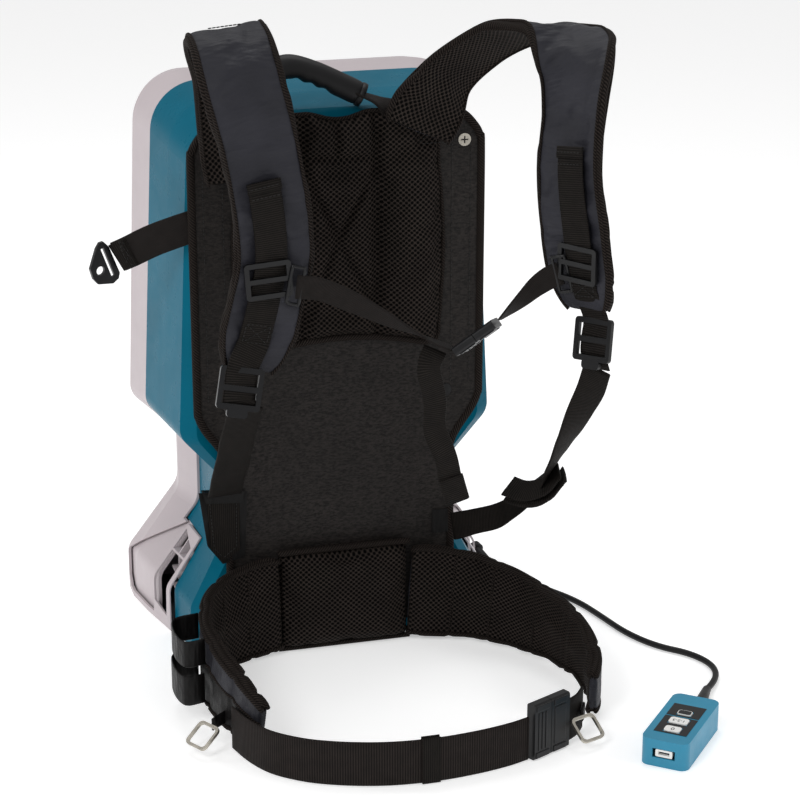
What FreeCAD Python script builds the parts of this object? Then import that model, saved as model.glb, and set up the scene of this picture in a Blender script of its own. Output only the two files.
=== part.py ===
import FreeCAD, Part
import math
import os

os.makedirs("parts", exist_ok=True)
V = FreeCAD.Vector

# Backpack vacuum cleaner standing on its base. Millimetres, +Z up, the wearer's side faces -Y.
# The origin is the centre of the flat underside of the base.

# ---- driving dimensions ----
PLATE_FRONT = -115.0         # front plane of the harness plate, which carries the straps
PLATE_THICK = 5.0
HOUSING_FRONT = PLATE_FRONT + PLATE_THICK
SEAM_Y = 25.0                # joint between the front housing and the rear cover
LEG_SEAM_Y = -40.0           # the same joint below the neck, behind the front legs
LEG_SEAM_Z = 112.0
WALL = 3.0
PAN_THICK = 6.0
BULKHEAD_Z = 232.0           # floor of the dust chamber
MOTOR_Y = -20.0
MOTOR_R = 42.0
IMPELLER_R = 62.0
SHAFT_R = 5.0
HOSE_R = 19.0                # bore of the hose socket, for a 38 mm cuff
HOSE_Z = 300.0
HOSE_Y = 60.0
RUN = 0.06                   # radial clearance of a running fit
GAP = 0.5                    # gap between parts that move past each other
PACK_W = 80.0                # battery pack: width, height and depth
PACK_H = 66.0
PACK_D = 121.0
PACK_FRONT = 3.0
PACK_X = 64.0
PACK_Z = 68.0
WAIST_WEB = 50.0             # webbing widths
WEB_FLOOR = 0.3              # the waist webbing stands on edge, just clear of the floor
SHOULDER_WEB = 38.0
CHEST_WEB = 25.0
WEB_THICK = 2.0
PAD_W = 86.0                 # shoulder pad
PAD_T = 13.0
WING_T = 14.0                # padded wing of the waist belt
CORD_R = 3.5


# ---- helpers ----
def export(name, shape):
    if not shape.isValid():
        print(name, "is not valid")
    shape.exportStep("parts/" + name + ".step")


def box(x, y, z):
    """Box from three (low, high) pairs."""
    return Part.makeBox(x[1] - x[0], y[1] - y[0], z[1] - z[0], V(x[0], y[0], z[0]))


def rounded_box(x, y, z, radius, axis):
    """Box whose four edges along one axis are rounded."""
    block = box(x, y, z)
    edges = [e for e in block.Edges if abs(e.tangentAt(e.FirstParameter).dot(axis)) > 0.99]
    return block.makeFillet(radius, edges)


def rod(radius, start, end):
    """Round bar between two points."""
    return Part.makeCylinder(radius, (end - start).Length, start, end - start)


def ring(outer, inner, start, end):
    reach = (end - start).normalize() * 1.0
    return rod(outer, start, end).cut(rod(inner, start - reach, end + reach))


def rounded_wire(corners):
    """Closed wire through (point, radius) corners, each rounded by an arc."""
    count = len(corners)
    arcs = []
    for i, (point, radius) in enumerate(corners):
        before = (corners[i - 1][0] - point).normalize()
        after = (corners[(i + 1) % count][0] - point).normalize()
        half = before.getAngle(after) / 2
        bisector = (before + after).normalize()
        reach = radius / math.tan(half)
        middle = point + bisector * (radius / math.sin(half) - radius)
        arcs.append((point + before * reach, middle, point + after * reach))
    edges = []
    for i, (enter, middle, leave) in enumerate(arcs):
        edges.append(Part.Arc(enter, middle, leave).toShape())
        edges.append(Part.LineSegment(leave, arcs[(i + 1) % count][0]).toShape())
    return Part.Wire(edges)


def prism_x(outline, low, high):
    """Prism along X from a list of (y, z) points."""
    points = [V(low, y, z) for y, z in outline]
    return Part.Face(Part.makePolygon(points + points[:1])).extrude(V(high - low, 0, 0))


def prism_y(outline, low, high):
    """Prism along Y from a list of (x, z) points."""
    points = [V(x, low, z) for x, z in outline]
    return Part.Face(Part.makePolygon(points + points[:1])).extrude(V(0, high - low, 0))


def ahead(x, distance, z):
    """A point a distance in front of the harness plate, on the wearer's side."""
    return V(x, PLATE_FRONT - distance, z)


def ribbon(edges, thickness, side=1.0):
    """Band between pairs of edge points, thickened to one side (or both, with side 0)."""
    sections = []
    for i, (low, high) in enumerate(edges):
        first = edges[max(i - 1, 0)]
        last = edges[min(i + 1, len(edges) - 1)]
        along = (last[0] + last[1] - first[0] - first[1]).normalize()
        normal = along.cross(high - low).normalize()
        near = normal * (thickness * (side - 1) / 2)
        far = normal * (thickness * (side + 1) / 2)
        points = [low + near, high + near, high + far, low + far]
        sections.append(Part.makePolygon(points + points[:1]))
    return Part.makeLoft(sections, True, True)


def band(centres, width, thickness, across, side=0.0):
    """Flat band along centre points; across gives its width direction at each point."""
    edges = [(c - a * (width / 2), c + a * (width / 2)) for c, a in zip(centres, across)]
    return ribbon(edges, thickness, side)


def upright(plan, low, high, thickness, side=0.0):
    """Band standing on edge along (x, ahead) points, from low to high."""
    edges = [(ahead(x, d, low[i]), ahead(x, d, high[i])) for i, (x, d) in enumerate(plan)]
    return ribbon(edges, thickness, side)


def standing_loop(plan, low, high, thickness):
    """Thin band of one height along (x, ahead) points, as a prism."""
    points = [ahead(x, d, low) for x, d in plan]
    inner, outer = [], []
    for i, point in enumerate(points):
        along = points[min(i + 1, len(points) - 1)] - points[max(i - 1, 0)]
        sideways = V(-along.y, along.x, 0).normalize() * (thickness / 2)
        inner.append(point - sideways)
        outer.append(point + sideways)
    outline = inner + outer[::-1]
    return Part.Face(Part.makePolygon(outline + outline[:1])).extrude(V(0, 0, high - low))


def frame_plate(width, height, thick, bars, bar):
    """Flat plastic slide in the XZ plane: a frame with level bars, centred on the origin."""
    plate = rounded_box((-width / 2, width / 2), (-thick / 2, thick / 2), (-height / 2, height / 2),
                        4.0, V(0, 1, 0))
    window = (height - bar * (bars + 2)) / (bars + 1)
    for i in range(bars + 1):
        low = -height / 2 + bar + i * (window + bar)
        plate = plate.cut(box((-width / 2 + 5, width / 2 - 5), (-thick, thick), (low, low + window)))
    return plate


def placed(shape, position, tilt=0.0, roll=0.0, turn=0.0):
    """Shape tilted about X, rolled about Y, turned about Z, in degrees, then moved."""
    moved = shape.copy()
    moved.rotate(V(0, 0, 0), V(1, 0, 0), tilt)
    moved.rotate(V(0, 0, 0), V(0, 1, 0), roll)
    moved.rotate(V(0, 0, 0), V(0, 0, 1), turn)
    moved.translate(position)
    return moved


# ---- housings ----
# Each section of the housing is symmetric. A row gives its place along Y, the height of its top
# and its half-widths at the shoulder, above the hip, at the neck and at the foot.
FRONT_SECTIONS = [
    (HOUSING_FRONT, 604, 148, 160, 118, 160),
    (HOUSING_FRONT + 14, 612, 158, 176, 130, 170),
    (LEG_SEAM_Y, 619, 166, 184, 131, 178),
    (SEAM_Y, 625, 174, 193, 133, 190),
]
REAR_SECTIONS = [
    (LEG_SEAM_Y, 619, 166, 184, 133, 184),
    (SEAM_Y, 625, 174, 193, 136, 200),
    (SEAM_Y + 45, 628, 186, 203, 150, 208),
    (SEAM_Y + 75, 624, 180, 197, 146, 208),
    (SEAM_Y + 90, 610, 164, 182, 132, 194),
]


def housing(sections, inset, floor=0.0):
    wires = []
    first, last = sections[0][0], sections[-1][0]
    for y, top, shoulder, hip, neck, foot in sections:
        place = min(max(y, first + inset), last - inset)
        half = [
            (shoulder - inset, top - inset, 56),
            (hip - inset, 256 + inset * 0.4, 24),
            (neck - inset, 204 + inset * 0.4, 20),
            (neck - inset, 134, 30),
            (foot - inset, 54, 22),
            (foot - inset, floor, 2),
        ]
        right = [(V(x, place, z), r) for x, z, r in half]
        left = [(V(-x, place, z), r) for x, z, r in reversed(half)]
        wires.append(rounded_wire(right + left))
    return Part.makeLoft(wires, True, True)


front_region = box((-300, 300), (-200, SEAM_Y), (-20, 700)).cut(
    box((-300, 300), (LEG_SEAM_Y, 200), (-30, LEG_SEAM_Z)))
front_shell = housing(FRONT_SECTIONS, 0).common(front_region)
front_hollow = housing(FRONT_SECTIONS, WALL, -15.0)
SEAM_OPENING = [(y + 40, *rest) for y, *rest in FRONT_SECTIONS[-2:]]
front_hollow = front_hollow.fuse(housing(SEAM_OPENING, WALL, -15.0))
front_housing = front_shell.cut(front_hollow)

rear_region = box((-300, 300), (LEG_SEAM_Y, 200), (-20, 700)).cut(
    box((-300, 300), (-200, SEAM_Y), (LEG_SEAM_Z, 800)))
rear_outer = housing(REAR_SECTIONS, 0)
rear_hollow = housing([(y - 10 if y < 0 else y, *rest) for y, *rest in REAR_SECTIONS], WALL, -15.0)
rear_cover = rear_outer.common(rear_region).cut(rear_hollow)

# ---- rear cover: side windows, lid opening, battery bays, hose hole, screw holes ----
REAR_FACE = SEAM_Y + 90
WINDOW = [(-34, 98), (2, 108), (2, 24), (-30, 16)]
GRID_BAR = 2.0
GRID_HEIGHTS = (40, 62, 84)
FLANK_IN, FLANK_OUT = 120, 240
for side in (-1, 1):
    low, high = sorted((side * FLANK_IN, side * FLANK_OUT))
    rear_cover = rear_cover.cut(prism_x(WINDOW, low, high))
    low, high = sorted((side * 150, side * 168))
    grid = box((low, high), (-18, -18 + GRID_BAR), (20, 103))
    low, high = sorted((side * 150, side * 172))
    for z in GRID_HEIGHTS:
        grid = grid.fuse(box((low, high), (-34, 4), (z, z + GRID_BAR)))
    rear_cover = rear_cover.fuse(grid.common(rear_outer))

# a panel sunk into each flank of the base, inside a raised rim
PANEL = [(5, 118), (97, 52), (97, 18), (86, 8), (5, 8)]
PANEL_BACK = [(2, 122), (100, 54), (100, 16), (87, 4), (2, 4)]
RECESS = 5.0
recess_floor = housing(REAR_SECTIONS, RECESS)
recess_core = housing(REAR_SECTIONS, RECESS + WALL, -15.0)
for side in (-1, 1):
    low, high = sorted((side * FLANK_IN, side * FLANK_OUT))
    backing = prism_x(PANEL_BACK, low, high).common(recess_floor).common(rear_region)
    rear_cover = rear_cover.fuse(backing.cut(recess_core))
    rear_cover = rear_cover.cut(prism_x(PANEL, low, high).cut(recess_floor))

LID_X = 140.0
LID_Z = (252.0, 582.0)
LID_FRONT = REAR_FACE + 0.4
LID_THICK = 6.0
rear_cover = rear_cover.cut(rounded_box((-LID_X + 14, LID_X - 14), (90, 130), (264, 568), 20, V(0, 1, 0)))
for side in (-1, 1):
    rear_cover = rear_cover.cut(box((side * PACK_X - PACK_W / 2 - 2, side * PACK_X + PACK_W / 2 + 2),
                                    (90, 130), (PACK_Z - PACK_H / 2 - 2, PACK_Z + PACK_H / 2 + 2)))
for z in range(150, 196, 12):
    rear_cover = rear_cover.cut(rounded_box((-70, 70), (90, 130), (z, z + 5), 2, V(0, 1, 0)))
rear_cover = rear_cover.cut(rod(27.0, V(150, HOSE_Y, HOSE_Z), V(230, HOSE_Y, HOSE_Z)))
SCREW_SPOTS = [(-150, 300), (150, 300), (-150, 520), (150, 520), (-110, 180), (110, 180)]
housing_screws = []
for x, z in SCREW_SPOTS:
    rear_cover = rear_cover.cut(rod(2.0, V(x, 95, z), V(x, 130, z)))
    head = rod(4.0, V(x, REAR_FACE, z), V(x, REAR_FACE + 2.4, z))
    socket = rod(2.0, V(x, REAR_FACE + 1.0, z), V(x, REAR_FACE + 3, z))
    housing_screws.append(head.fuse(rod(2.0, V(x, REAR_FACE - 14, z), V(x, REAR_FACE, z))).cut(socket))

# ---- dust lid on its hinge ----
HINGE_Y = REAR_FACE + 7.0
HINGE_Z = 244.0
PIN_R = 3.0
KNUCKLE_R = 6.3
for side in (-1, 1):
    low, high = sorted((side * 62, side * 80))
    ear = box((low, high), (REAR_FACE - 1, HINGE_Y), (HINGE_Z - KNUCKLE_R, HINGE_Z + KNUCKLE_R))
    ear = ear.fuse(rod(KNUCKLE_R, V(low, HINGE_Y, HINGE_Z), V(high, HINGE_Y, HINGE_Z)))
    rear_cover = rear_cover.fuse(ear)
rear_cover = rear_cover.cut(rod(PIN_R, V(-85, HINGE_Y, HINGE_Z), V(85, HINGE_Y, HINGE_Z)))
lid_hinge_pin = rod(PIN_R, V(-82, HINGE_Y, HINGE_Z), V(82, HINGE_Y, HINGE_Z))

LATCH_Z = 548.0
dust_lid = rounded_box((-LID_X, LID_X), (LID_FRONT, LID_FRONT + LID_THICK), LID_Z, 24, V(0, 1, 0))
knuckle = rod(KNUCKLE_R, V(-60, HINGE_Y, HINGE_Z), V(60, HINGE_Y, HINGE_Z))
knuckle = knuckle.fuse(box((-60, 60), (LID_FRONT + 1, LID_FRONT + LID_THICK), (HINGE_Z, LID_Z[0] + 4)))
dust_lid = dust_lid.fuse(knuckle)
dust_lid = dust_lid.cut(rod(PIN_R + RUN, V(-61, HINGE_Y, HINGE_Z), V(61, HINGE_Y, HINGE_Z)))
LATCH_SHAFT_R = 5.0
dust_lid = dust_lid.cut(rod(LATCH_SHAFT_R + RUN, V(0, LID_FRONT + 1, LATCH_Z), V(0, 140, LATCH_Z)))
latch_y = LID_FRONT + LID_THICK + GAP
lid_latch = rod(17, V(0, latch_y, LATCH_Z), V(0, latch_y + 3, LATCH_Z))
lid_latch = lid_latch.fuse(rounded_box((-3.5, 3.5), (latch_y + 2, latch_y + 9),
                                       (LATCH_Z - 15, LATCH_Z + 15), 3, V(0, 1, 0)))
lid_latch = lid_latch.fuse(rod(LATCH_SHAFT_R, V(0, LID_FRONT + 1.5, LATCH_Z), V(0, latch_y + 1, LATCH_Z)))

# ---- hose collar and the socket that turns in it ----
def along_x(x):
    return V(x, HOSE_Y, HOSE_Z)


COLLAR_R = 27.0
COLLAR_BORE = 24.0
SOCKET_LIP_R = 26.5
hose_collar = ring(COLLAR_R, COLLAR_BORE, along_x(168), along_x(206))
hose_collar = hose_collar.fuse(ring(COLLAR_R + 6, COLLAR_BORE, along_x(203.6), along_x(206)))
hose_socket = rod(COLLAR_BORE - RUN, along_x(166), along_x(207.5))
hose_socket = hose_socket.fuse(rod(SOCKET_LIP_R, along_x(162), along_x(167.5)))
hose_socket = hose_socket.fuse(rod(SOCKET_LIP_R, along_x(206.5), along_x(208.5)))
hose_socket = hose_socket.cut(rod(HOSE_R, along_x(150), along_x(230)))

# ---- base pan with the rails that the packs slide on ----
pan_hollow = front_hollow.fuse(rear_hollow)
base_pan = pan_hollow.common(box((-240, 240), (-140, 140), (0, PAN_THICK)))
for side in (-1, 1):
    for offset in (-26, 26):
        x = side * PACK_X + offset
        base_pan = base_pan.fuse(box((x - 4, x + 4), (4, 108), (PAN_THICK - 1, PACK_Z - PACK_H / 2 - GAP)))
base_pan = base_pan.cut(front_housing).cut(rear_cover)

# ---- battery packs and their release buttons ----
def battery(x):
    low, high = PACK_Z - PACK_H / 2, PACK_Z + PACK_H / 2
    back = PACK_FRONT + PACK_D
    pack = rounded_box((x - PACK_W / 2, x + PACK_W / 2), (PACK_FRONT, back), (low, high), 8, V(0, 1, 0))
    pocket = box((x - 15.4, x + 15.4), (back - 8, back + 5), (high - 22.4, high - 9.6))
    return pack.cut(pocket)


def battery_button(x):
    high = PACK_Z + PACK_H / 2
    back = PACK_FRONT + PACK_D
    return rounded_box((x - 15, x + 15), (back - 4, back + 2), (high - 22, high - 10), 3, V(0, 1, 0))


battery_terminals = []
for side in (-1, 1):
    x = side * PACK_X
    block = box((x - 28, x + 28), (-10, 2), (PACK_Z - 16, PACK_Z + 16))
    foot = box((x - 28, x + 28), (-10, -4), (PAN_THICK, PACK_Z - 16))
    battery_terminals.append(block.fuse(foot))

# ---- motor, fan, filter and dust bag ----
def on_axis(z):
    return V(0, MOTOR_Y, z)


BEARING_R = 11.0
motor_can = ring(MOTOR_R, MOTOR_R - 3, on_axis(128), on_axis(200))
motor_can = motor_can.fuse(ring(MOTOR_R, BEARING_R, on_axis(194), on_axis(200)))
motor_can = motor_can.fuse(ring(MOTOR_R, BEARING_R, on_axis(128), on_axis(134)))
motor_can = motor_can.fuse(ring(74, BEARING_R, on_axis(200), on_axis(203)))
for k in range(4):
    angle = math.radians(45 + 90 * k)
    post = V(68.5 * math.cos(angle), MOTOR_Y + 68.5 * math.sin(angle), 202)
    motor_can = motor_can.fuse(rod(5, post, post + V(0, 0, BULKHEAD_Z - 202)))
motor_bearings = [
    ring(BEARING_R, SHAFT_R + RUN, on_axis(128), on_axis(134)),
    ring(BEARING_R, SHAFT_R + RUN, on_axis(196), on_axis(203)),
]
motor_shaft = rod(SHAFT_R, on_axis(122), on_axis(228)).fuse(rod(24, on_axis(142), on_axis(186)))
impeller = rod(IMPELLER_R, on_axis(206), on_axis(208.5)).fuse(rod(12, on_axis(206), on_axis(224)))
for k in range(9):
    blade = ribbon([(V(14, 0, 208), V(14, 0, 224)), (V(34, 6, 208), V(34, 6, 222)),
                    (V(IMPELLER_R - 2, 22, 208), V(IMPELLER_R - 2, 22, 218))], 2.0, 0)
    blade.rotate(V(0, 0, 0), V(0, 0, 1), 40 * k)
    blade.translate(V(0, MOTOR_Y, 0))
    impeller = impeller.fuse(blade.common(rod(IMPELLER_R, V(0, MOTOR_Y, 200), V(0, MOTOR_Y, 230))))
impeller = impeller.cut(rod(SHAFT_R, on_axis(200), on_axis(230)))

bulkhead = pan_hollow.common(box((-240, 240), (-140, 140), (BULKHEAD_Z, BULKHEAD_Z + 4)))
bulkhead = bulkhead.cut(rod(30, on_axis(220), on_axis(250))).cut(front_housing).cut(rear_cover)
exhaust_filter = rounded_box((-75, 75), (-85, 45), (BULKHEAD_Z + 4, BULKHEAD_Z + 22), 10, V(0, 0, 1))
BAG_WALL = 2.0
dust_bag = rounded_box((-125, 125), (-88, 92), (260, 560), 40, V(1, 0, 0))
bag_hollow = rounded_box((-125 + BAG_WALL, 125 - BAG_WALL), (-88 + BAG_WALL, 92 - BAG_WALL),
                         (260 + BAG_WALL, 560 - BAG_WALL), 40 - BAG_WALL, V(1, 0, 0))
dust_bag = dust_bag.cut(bag_hollow)
dust_bag = dust_bag.fuse(ring(30, HOSE_R, along_x(123.5), along_x(158)))
dust_bag = dust_bag.cut(rod(HOSE_R, along_x(110), along_x(170)))

# ---- harness plate ----
plate_corners = [(137, 604, 22), (160, 575, 22), (160, 284, 30), (126, 224, 26), (130, 20, 8)]
right = [(V(x, HOUSING_FRONT, z), r) for x, z, r in plate_corners]
left = [(V(-x, HOUSING_FRONT, z), r) for x, z, r in reversed(plate_corners)]
plate_face = Part.Face(rounded_wire(right + left))
harness_plate = plate_face.extrude(V(0, -PLATE_THICK, 0))
SCOOP_R = 62.0               # scoop in the plate's top, under the carry handle
harness_plate = harness_plate.cut(rod(SCOOP_R, V(0, -130, 640), V(0, -100, 640)))
PLATE_SCREWS = [(-140, 573), (140, 573), (-120, 291), (120, 291)]
plate_screws = []
for x, z in PLATE_SCREWS:
    harness_plate = harness_plate.cut(rod(3, V(x, -130, z), V(x, -105, z)))
    front_housing = front_housing.cut(rod(3, V(x, -115, z), V(x, -95, z)))
    head = rod(7, V(x, PLATE_FRONT - 2.2, z), V(x, PLATE_FRONT, z))
    head = head.fuse(rod(3, V(x, PLATE_FRONT, z), V(x, HOUSING_FRONT + 8, z)))
    slots = box((x - 4, x + 4), (PLATE_FRONT - 4, PLATE_FRONT - 1.2), (z - 0.8, z + 0.8))
    slots = slots.fuse(box((x - 0.8, x + 0.8), (PLATE_FRONT - 4, PLATE_FRONT - 1.2), (z - 4, z + 4)))
    plate_screws.append(head.cut(slots))

# ---- back pad and waist belt ----
PAD_DEPTH = 18.0
pad_outline = [(112, 590, 20), (118, 470, 60), (116, 348, 24)]
right = [(V(x, PLATE_FRONT, z), r) for x, z, r in pad_outline]
left = [(V(-x, PLATE_FRONT, z), r) for x, z, r in reversed(pad_outline)]
pad_face = Part.Face(rounded_wire(right + [(V(0, PLATE_FRONT, 366), 300)] + left))
back_pad = pad_face.extrude(V(0, -PAD_DEPTH, 0))
back_pad = back_pad.cut(rod(46, V(0, -150, 618), V(0, -100, 618)))

LUMBAR_DEPTH = 24.0
lumbar_pad = rounded_box((-74, 74), (PLATE_FRONT - LUMBAR_DEPTH, PLATE_FRONT), (1, 122), 14, V(0, 1, 0))

LEFT_WING = [(-74.5, 14), (-110, 24), (-146, 50), (-170, 90),
             (-180, 135), (-176, 185), (-162, 232), (-150, 262)]
LEFT_WING_LOW = [2, 2, 3, 8, 12, 12, 10, 8]
LEFT_WING_HIGH = [120, 118, 115, 112, 104, 92, 78, 66]
belt_wing_left = upright(LEFT_WING, LEFT_WING_LOW, LEFT_WING_HIGH, WING_T)
RIGHT_WING = [(74.5, 14), (118, 26), (158, 50), (192, 92),
              (214, 140), (222, 186), (218, 232), (204, 268)]
RIGHT_WING_LOW = [2, 2, 2, 3, 5, 6, 6, 6]
RIGHT_WING_HIGH = [118, 112, 104, 94, 84, 74, 64, 58]
belt_wing_right = upright(RIGHT_WING, RIGHT_WING_LOW, RIGHT_WING_HIGH, WING_T)
belt_wing_left = belt_wing_left.cut(lumbar_pad)
belt_wing_right = belt_wing_right.cut(lumbar_pad)

WEBBING_LEFT = [(-174, 228), (-164, 262), (-148, 292), (-122, 316), (-95, 331), (-62, 343), (-28, 350),
                (13, 352), (55, 348), (88, 341), (111, 333)]
WAIST_THICK = 2.4
waist_webbing_left = upright(WEBBING_LEFT, [WEB_FLOOR] * 11, [WAIST_WEB] * 11, WAIST_THICK)
KEEPER_Y = PLATE_FRONT - 351.0
KEEPER_HALF = 3.6            # half the thickness of the elastic keeper
keeper = box((-6, 12), (KEEPER_Y - KEEPER_HALF, KEEPER_Y + KEEPER_HALF), (WEB_FLOOR, WAIST_WEB + 1.5))
waist_webbing_left = waist_webbing_left.fuse(keeper)
WEBBING_RIGHT = [(160, 308), (176, 296), (188, 280)]
waist_webbing_right = upright(WEBBING_RIGHT, [WEB_FLOOR] * 3, [WAIST_WEB] * 3, WAIST_THICK)

BUCKLE_H = 62.0
BUCKLE_T = 12.0
BUCKLE_TURN = 26.0


def waist_piece(shape):
    """Buckle shape drawn along X from the mouth, turned to the webbing's run."""
    return placed(shape, ahead(136, 321, BUCKLE_H / 2), 0, 0, BUCKLE_TURN)


half_t = BUCKLE_T / 2
half_h = BUCKLE_H / 2
socket = rounded_box((0, 26), (-half_t, half_t), (-half_h, half_h), 3, V(1, 0, 0))
socket = socket.cut(box((-1, 21), (-half_t + 2, half_t - 2), (-half_h + 4, half_h - 4)))
waist_buckle_socket = waist_piece(socket)
plug = rounded_box((-24, -0.6), (-half_t, half_t), (-half_h, half_h), 3, V(1, 0, 0))
prongs = box((-6, 17), (-3.2, 3.2), (-half_h + 5, half_h - 5))
prongs = prongs.cut(box((1, 20), (-8, 8), (-8, 8)))
waist_buckle_plug = waist_piece(plug.fuse(prongs))


def belt_ring(turn, tilt, position):
    """Rectangular wire ring hanging from its top bar, which is the hinge."""
    outer = rounded_box((-15, 15), (-1.5, 1.5), (-28, 1.5), 6, V(0, 1, 0))
    inner = rounded_box((-12, 12), (-3, 3), (-25, -1.5), 4, V(0, 1, 0))
    return placed(outer.cut(inner), position, tilt, 0, turn)


RING_LEFT = ahead(-196, 222, 27)
RING_RIGHT = ahead(178, 307, 27)
TAB_LOW = [18, 20, 23]
TAB_HIGH = [34, 34, 32]
TAB_THICK = 3.0
ring_tab_left = upright([(-178, 206), (-188, 214), (-193, 219)], TAB_LOW, TAB_HIGH, TAB_THICK)
ring_tab_right = upright([(188, 286), (184, 296), (180, 302)], TAB_LOW, TAB_HIGH, TAB_THICK)
belt_ring_left = belt_ring(-60, -55, RING_LEFT)
belt_ring_right = belt_ring(20, -52, RING_RIGHT)

# ---- tool loops on the outside of the left wing ----
LOOP_OUT = [(-182, 92), (-209, 100), (-215, 130), (-209, 160), (-188, 158)]
LOWER_LOOP_OUT = [(x - 2, d + 4) for x, d in LOOP_OUT]
LOOP_THICK = 2.0
tool_loops = [
    standing_loop(LOOP_OUT, 66, 96, LOOP_THICK),
    standing_loop(LOWER_LOOP_OUT, 24, 58, LOOP_THICK),
]

# ---- shoulder straps ----
LEFT_PAD = [(-112, 25.5, 548), (-115, 27, 604), (-124, 44, 668), (-138, 80, 712),
            (-139, 118, 710), (-134, 144, 672), (-121, 151, 614), (-112, 152, 556),
            (-108, 149, 500), (-116, 143, 452), (-125, 138, 412), (-133, 134, 378)]
LEFT_ACROSS = [(1, 0, 0), (1, 0, 0.05), (1, 0.1, 0.1), (1, 0.15, 0.1),
               (1, 0.1, 0.1), (1, 0.1, 0.2), (1, 0.1, 0.2), (1, 0.1, 0.15),
               (1, 0.1, 0.05), (1, 0.1, -0.15), (1, 0.1, -0.25), (1, 0.1, -0.35)]
RIGHT_PAD = [(80, 25.5, 590), (92, 27, 616), (110, 33, 647), (135, 48, 673),
             (163, 72, 695), (188, 110, 709), (200, 150, 709), (198, 188, 688),
             (188, 214, 648), (180, 228, 590), (184, 235, 530), (192, 238, 478),
             (199, 238, 446)]
RIGHT_ACROSS = [(1, 0, 0.05), (0.95, 0.1, -0.2), (0.65, 0.5, -0.5), (0.52, 0.62, -0.5),
                (0.62, 0.6, -0.4), (0.8, 0.35, -0.15), (0.85, -0.3, -0.1), (0.5, -0.8, -0.1),
                (0.4, -0.92, 0), (0.45, -0.89, 0), (0.53, -0.84, 0), (0.5, -0.85, 0.1),
                (0.45, -0.88, 0.12)]
PAD_TAPER = 0.62             # width of a pad's lower end, as a share of the rest


def shoulder_pad(route, across):
    centres = [ahead(*p) for p in route]
    widths = [V(*a).normalize() for a in across]
    edges = []
    for i, (c, a) in enumerate(zip(centres, widths)):
        half = PAD_W / 2 * (PAD_TAPER if i == len(centres) - 1 else 1)
        edges.append((c - a * half, c + a * half))
    return ribbon(edges, PAD_T, 0)


shoulder_pad_left = shoulder_pad(LEFT_PAD, LEFT_ACROSS)
shoulder_pad_right = shoulder_pad(RIGHT_PAD, RIGHT_ACROSS)

WEB_LEFT = [(-137, 147, 342), (-138, 122, 308), (-138, 84, 264), (-136, 40, 220), (-134, 12, 196)]
WEB_LEFT_ACROSS = [V(1, 0, 0)] * len(WEB_LEFT)
WEB_RIGHT = [(206, 251, 388), (203, 232, 352), (197, 202, 305), (194, 162, 258),
             (192, 118, 212), (168, 70, 165), (143, 36, 143), (127, 12, 131)]
WEB_RIGHT_ACROSS = [V(0.6, -0.75, 0.1), V(0.8, -0.5, 0.3), V(0.9, -0.2, 0.5), V(0.8, 0.1, 0.7),
                    V(0.5, 0.4, 0.8), V(0.25, 0.5, 0.9), V(0.2, 0.4, 0.95), V(0.1, 0.2, 1)]
WEB_RIGHT_W = SHOULDER_WEB - 8
strap_webbing_left = band([ahead(*p) for p in WEB_LEFT], SHOULDER_WEB, WEB_THICK, WEB_LEFT_ACROSS)
strap_webbing_right = band([ahead(*p) for p in WEB_RIGHT], WEB_RIGHT_W, WEB_THICK,
                           [a.normalize() for a in WEB_RIGHT_ACROSS])
FLAP_LEFT = [(-160, 196), (-108, 193), (-112, 118), (-136, 112), (-152, 134)]
FLAP_RIGHT = [(106, 148), (126, 148), (126, 122), (106, 122)]
ANCHOR_BACK = PLATE_FRONT - 0.2
webbing_anchors = [
    prism_y(FLAP_LEFT, PLATE_FRONT - 9, ANCHOR_BACK),
    prism_y(FLAP_RIGHT, PLATE_FRONT - 10, ANCHOR_BACK),
]

# ---- ladder locks and chest sliders ----
RIGHT_TURN = -58.0            # the right strap faces across the wearer's chest
LOCK_LEFT = ahead(-139, 152, 388)
LOCK_RIGHT = ahead(203, 247, 440)
LOCK_W, LOCK_H, LOCK_T = 46.0, 44.0, 4.5
lock = frame_plate(LOCK_W, LOCK_H, LOCK_T, 1, 6)
lock.translate(V(0, 0, -LOCK_H / 2))
thumb_tab = rounded_box((-11, 11), (-LOCK_T / 2, LOCK_T / 2), (-LOCK_H - 8, -LOCK_H + 2), 4, V(0, 1, 0))
lock = lock.fuse(thumb_tab)
ladder_lock_left = placed(lock, LOCK_LEFT, -12, 12)
ladder_lock_right = placed(lock, LOCK_RIGHT, -12, -5, RIGHT_TURN)

SLIDER_LEFT = ahead(-113, 161, 480)
SLIDER_RIGHT = ahead(182, 249, 498)
slider = frame_plate(48, 38, 4.0, 1, 5)
chest_slider_left = placed(slider, SLIDER_LEFT, 0, -4)
chest_slider_right = placed(slider, SLIDER_RIGHT, 0, 0, RIGHT_TURN)

# ---- chest strap ----
CHEST_LEFT = [(-85, 164, 472), (-60, 167, 468), (-30, 173, 454),
              (0, 181, 438), (26, 189, 424), (50, 196, 412)]
CHEST_LEFT_ACROSS = [V(0.3, 0, 0.95), V(0.25, -0.1, 0.95), V(0.1, -0.3, 0.9), V(-0.1, -0.55, 0.8),
                     V(-0.3, -0.75, 0.5), V(-0.48, -0.85, 0.2)]
CHEST_RIGHT = [(117, 216, 438), (134, 218, 455), (149, 222, 470), (161, 226, 485)]
CHEST_RIGHT_ACROSS = [V(-0.48, -0.85, 0.2), V(-0.55, -0.5, 0.6), V(-0.5, -0.2, 0.8), V(-0.5, 0, 0.86)]
CHEST_THICK = 1.8
chest_strap_left = band([ahead(*p) for p in CHEST_LEFT], CHEST_WEB, CHEST_THICK,
                        [a.normalize() for a in CHEST_LEFT_ACROSS])
TAIL = [(48, 199, 406), (46, 202, 384), (49, 199, 348), (55, 196, 316),
        (62, 194, 284), (70, 192, 258), (77, 191, 234)]
TAIL_ACROSS = [V(0.96, 0, 0.26)] * len(TAIL)
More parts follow.
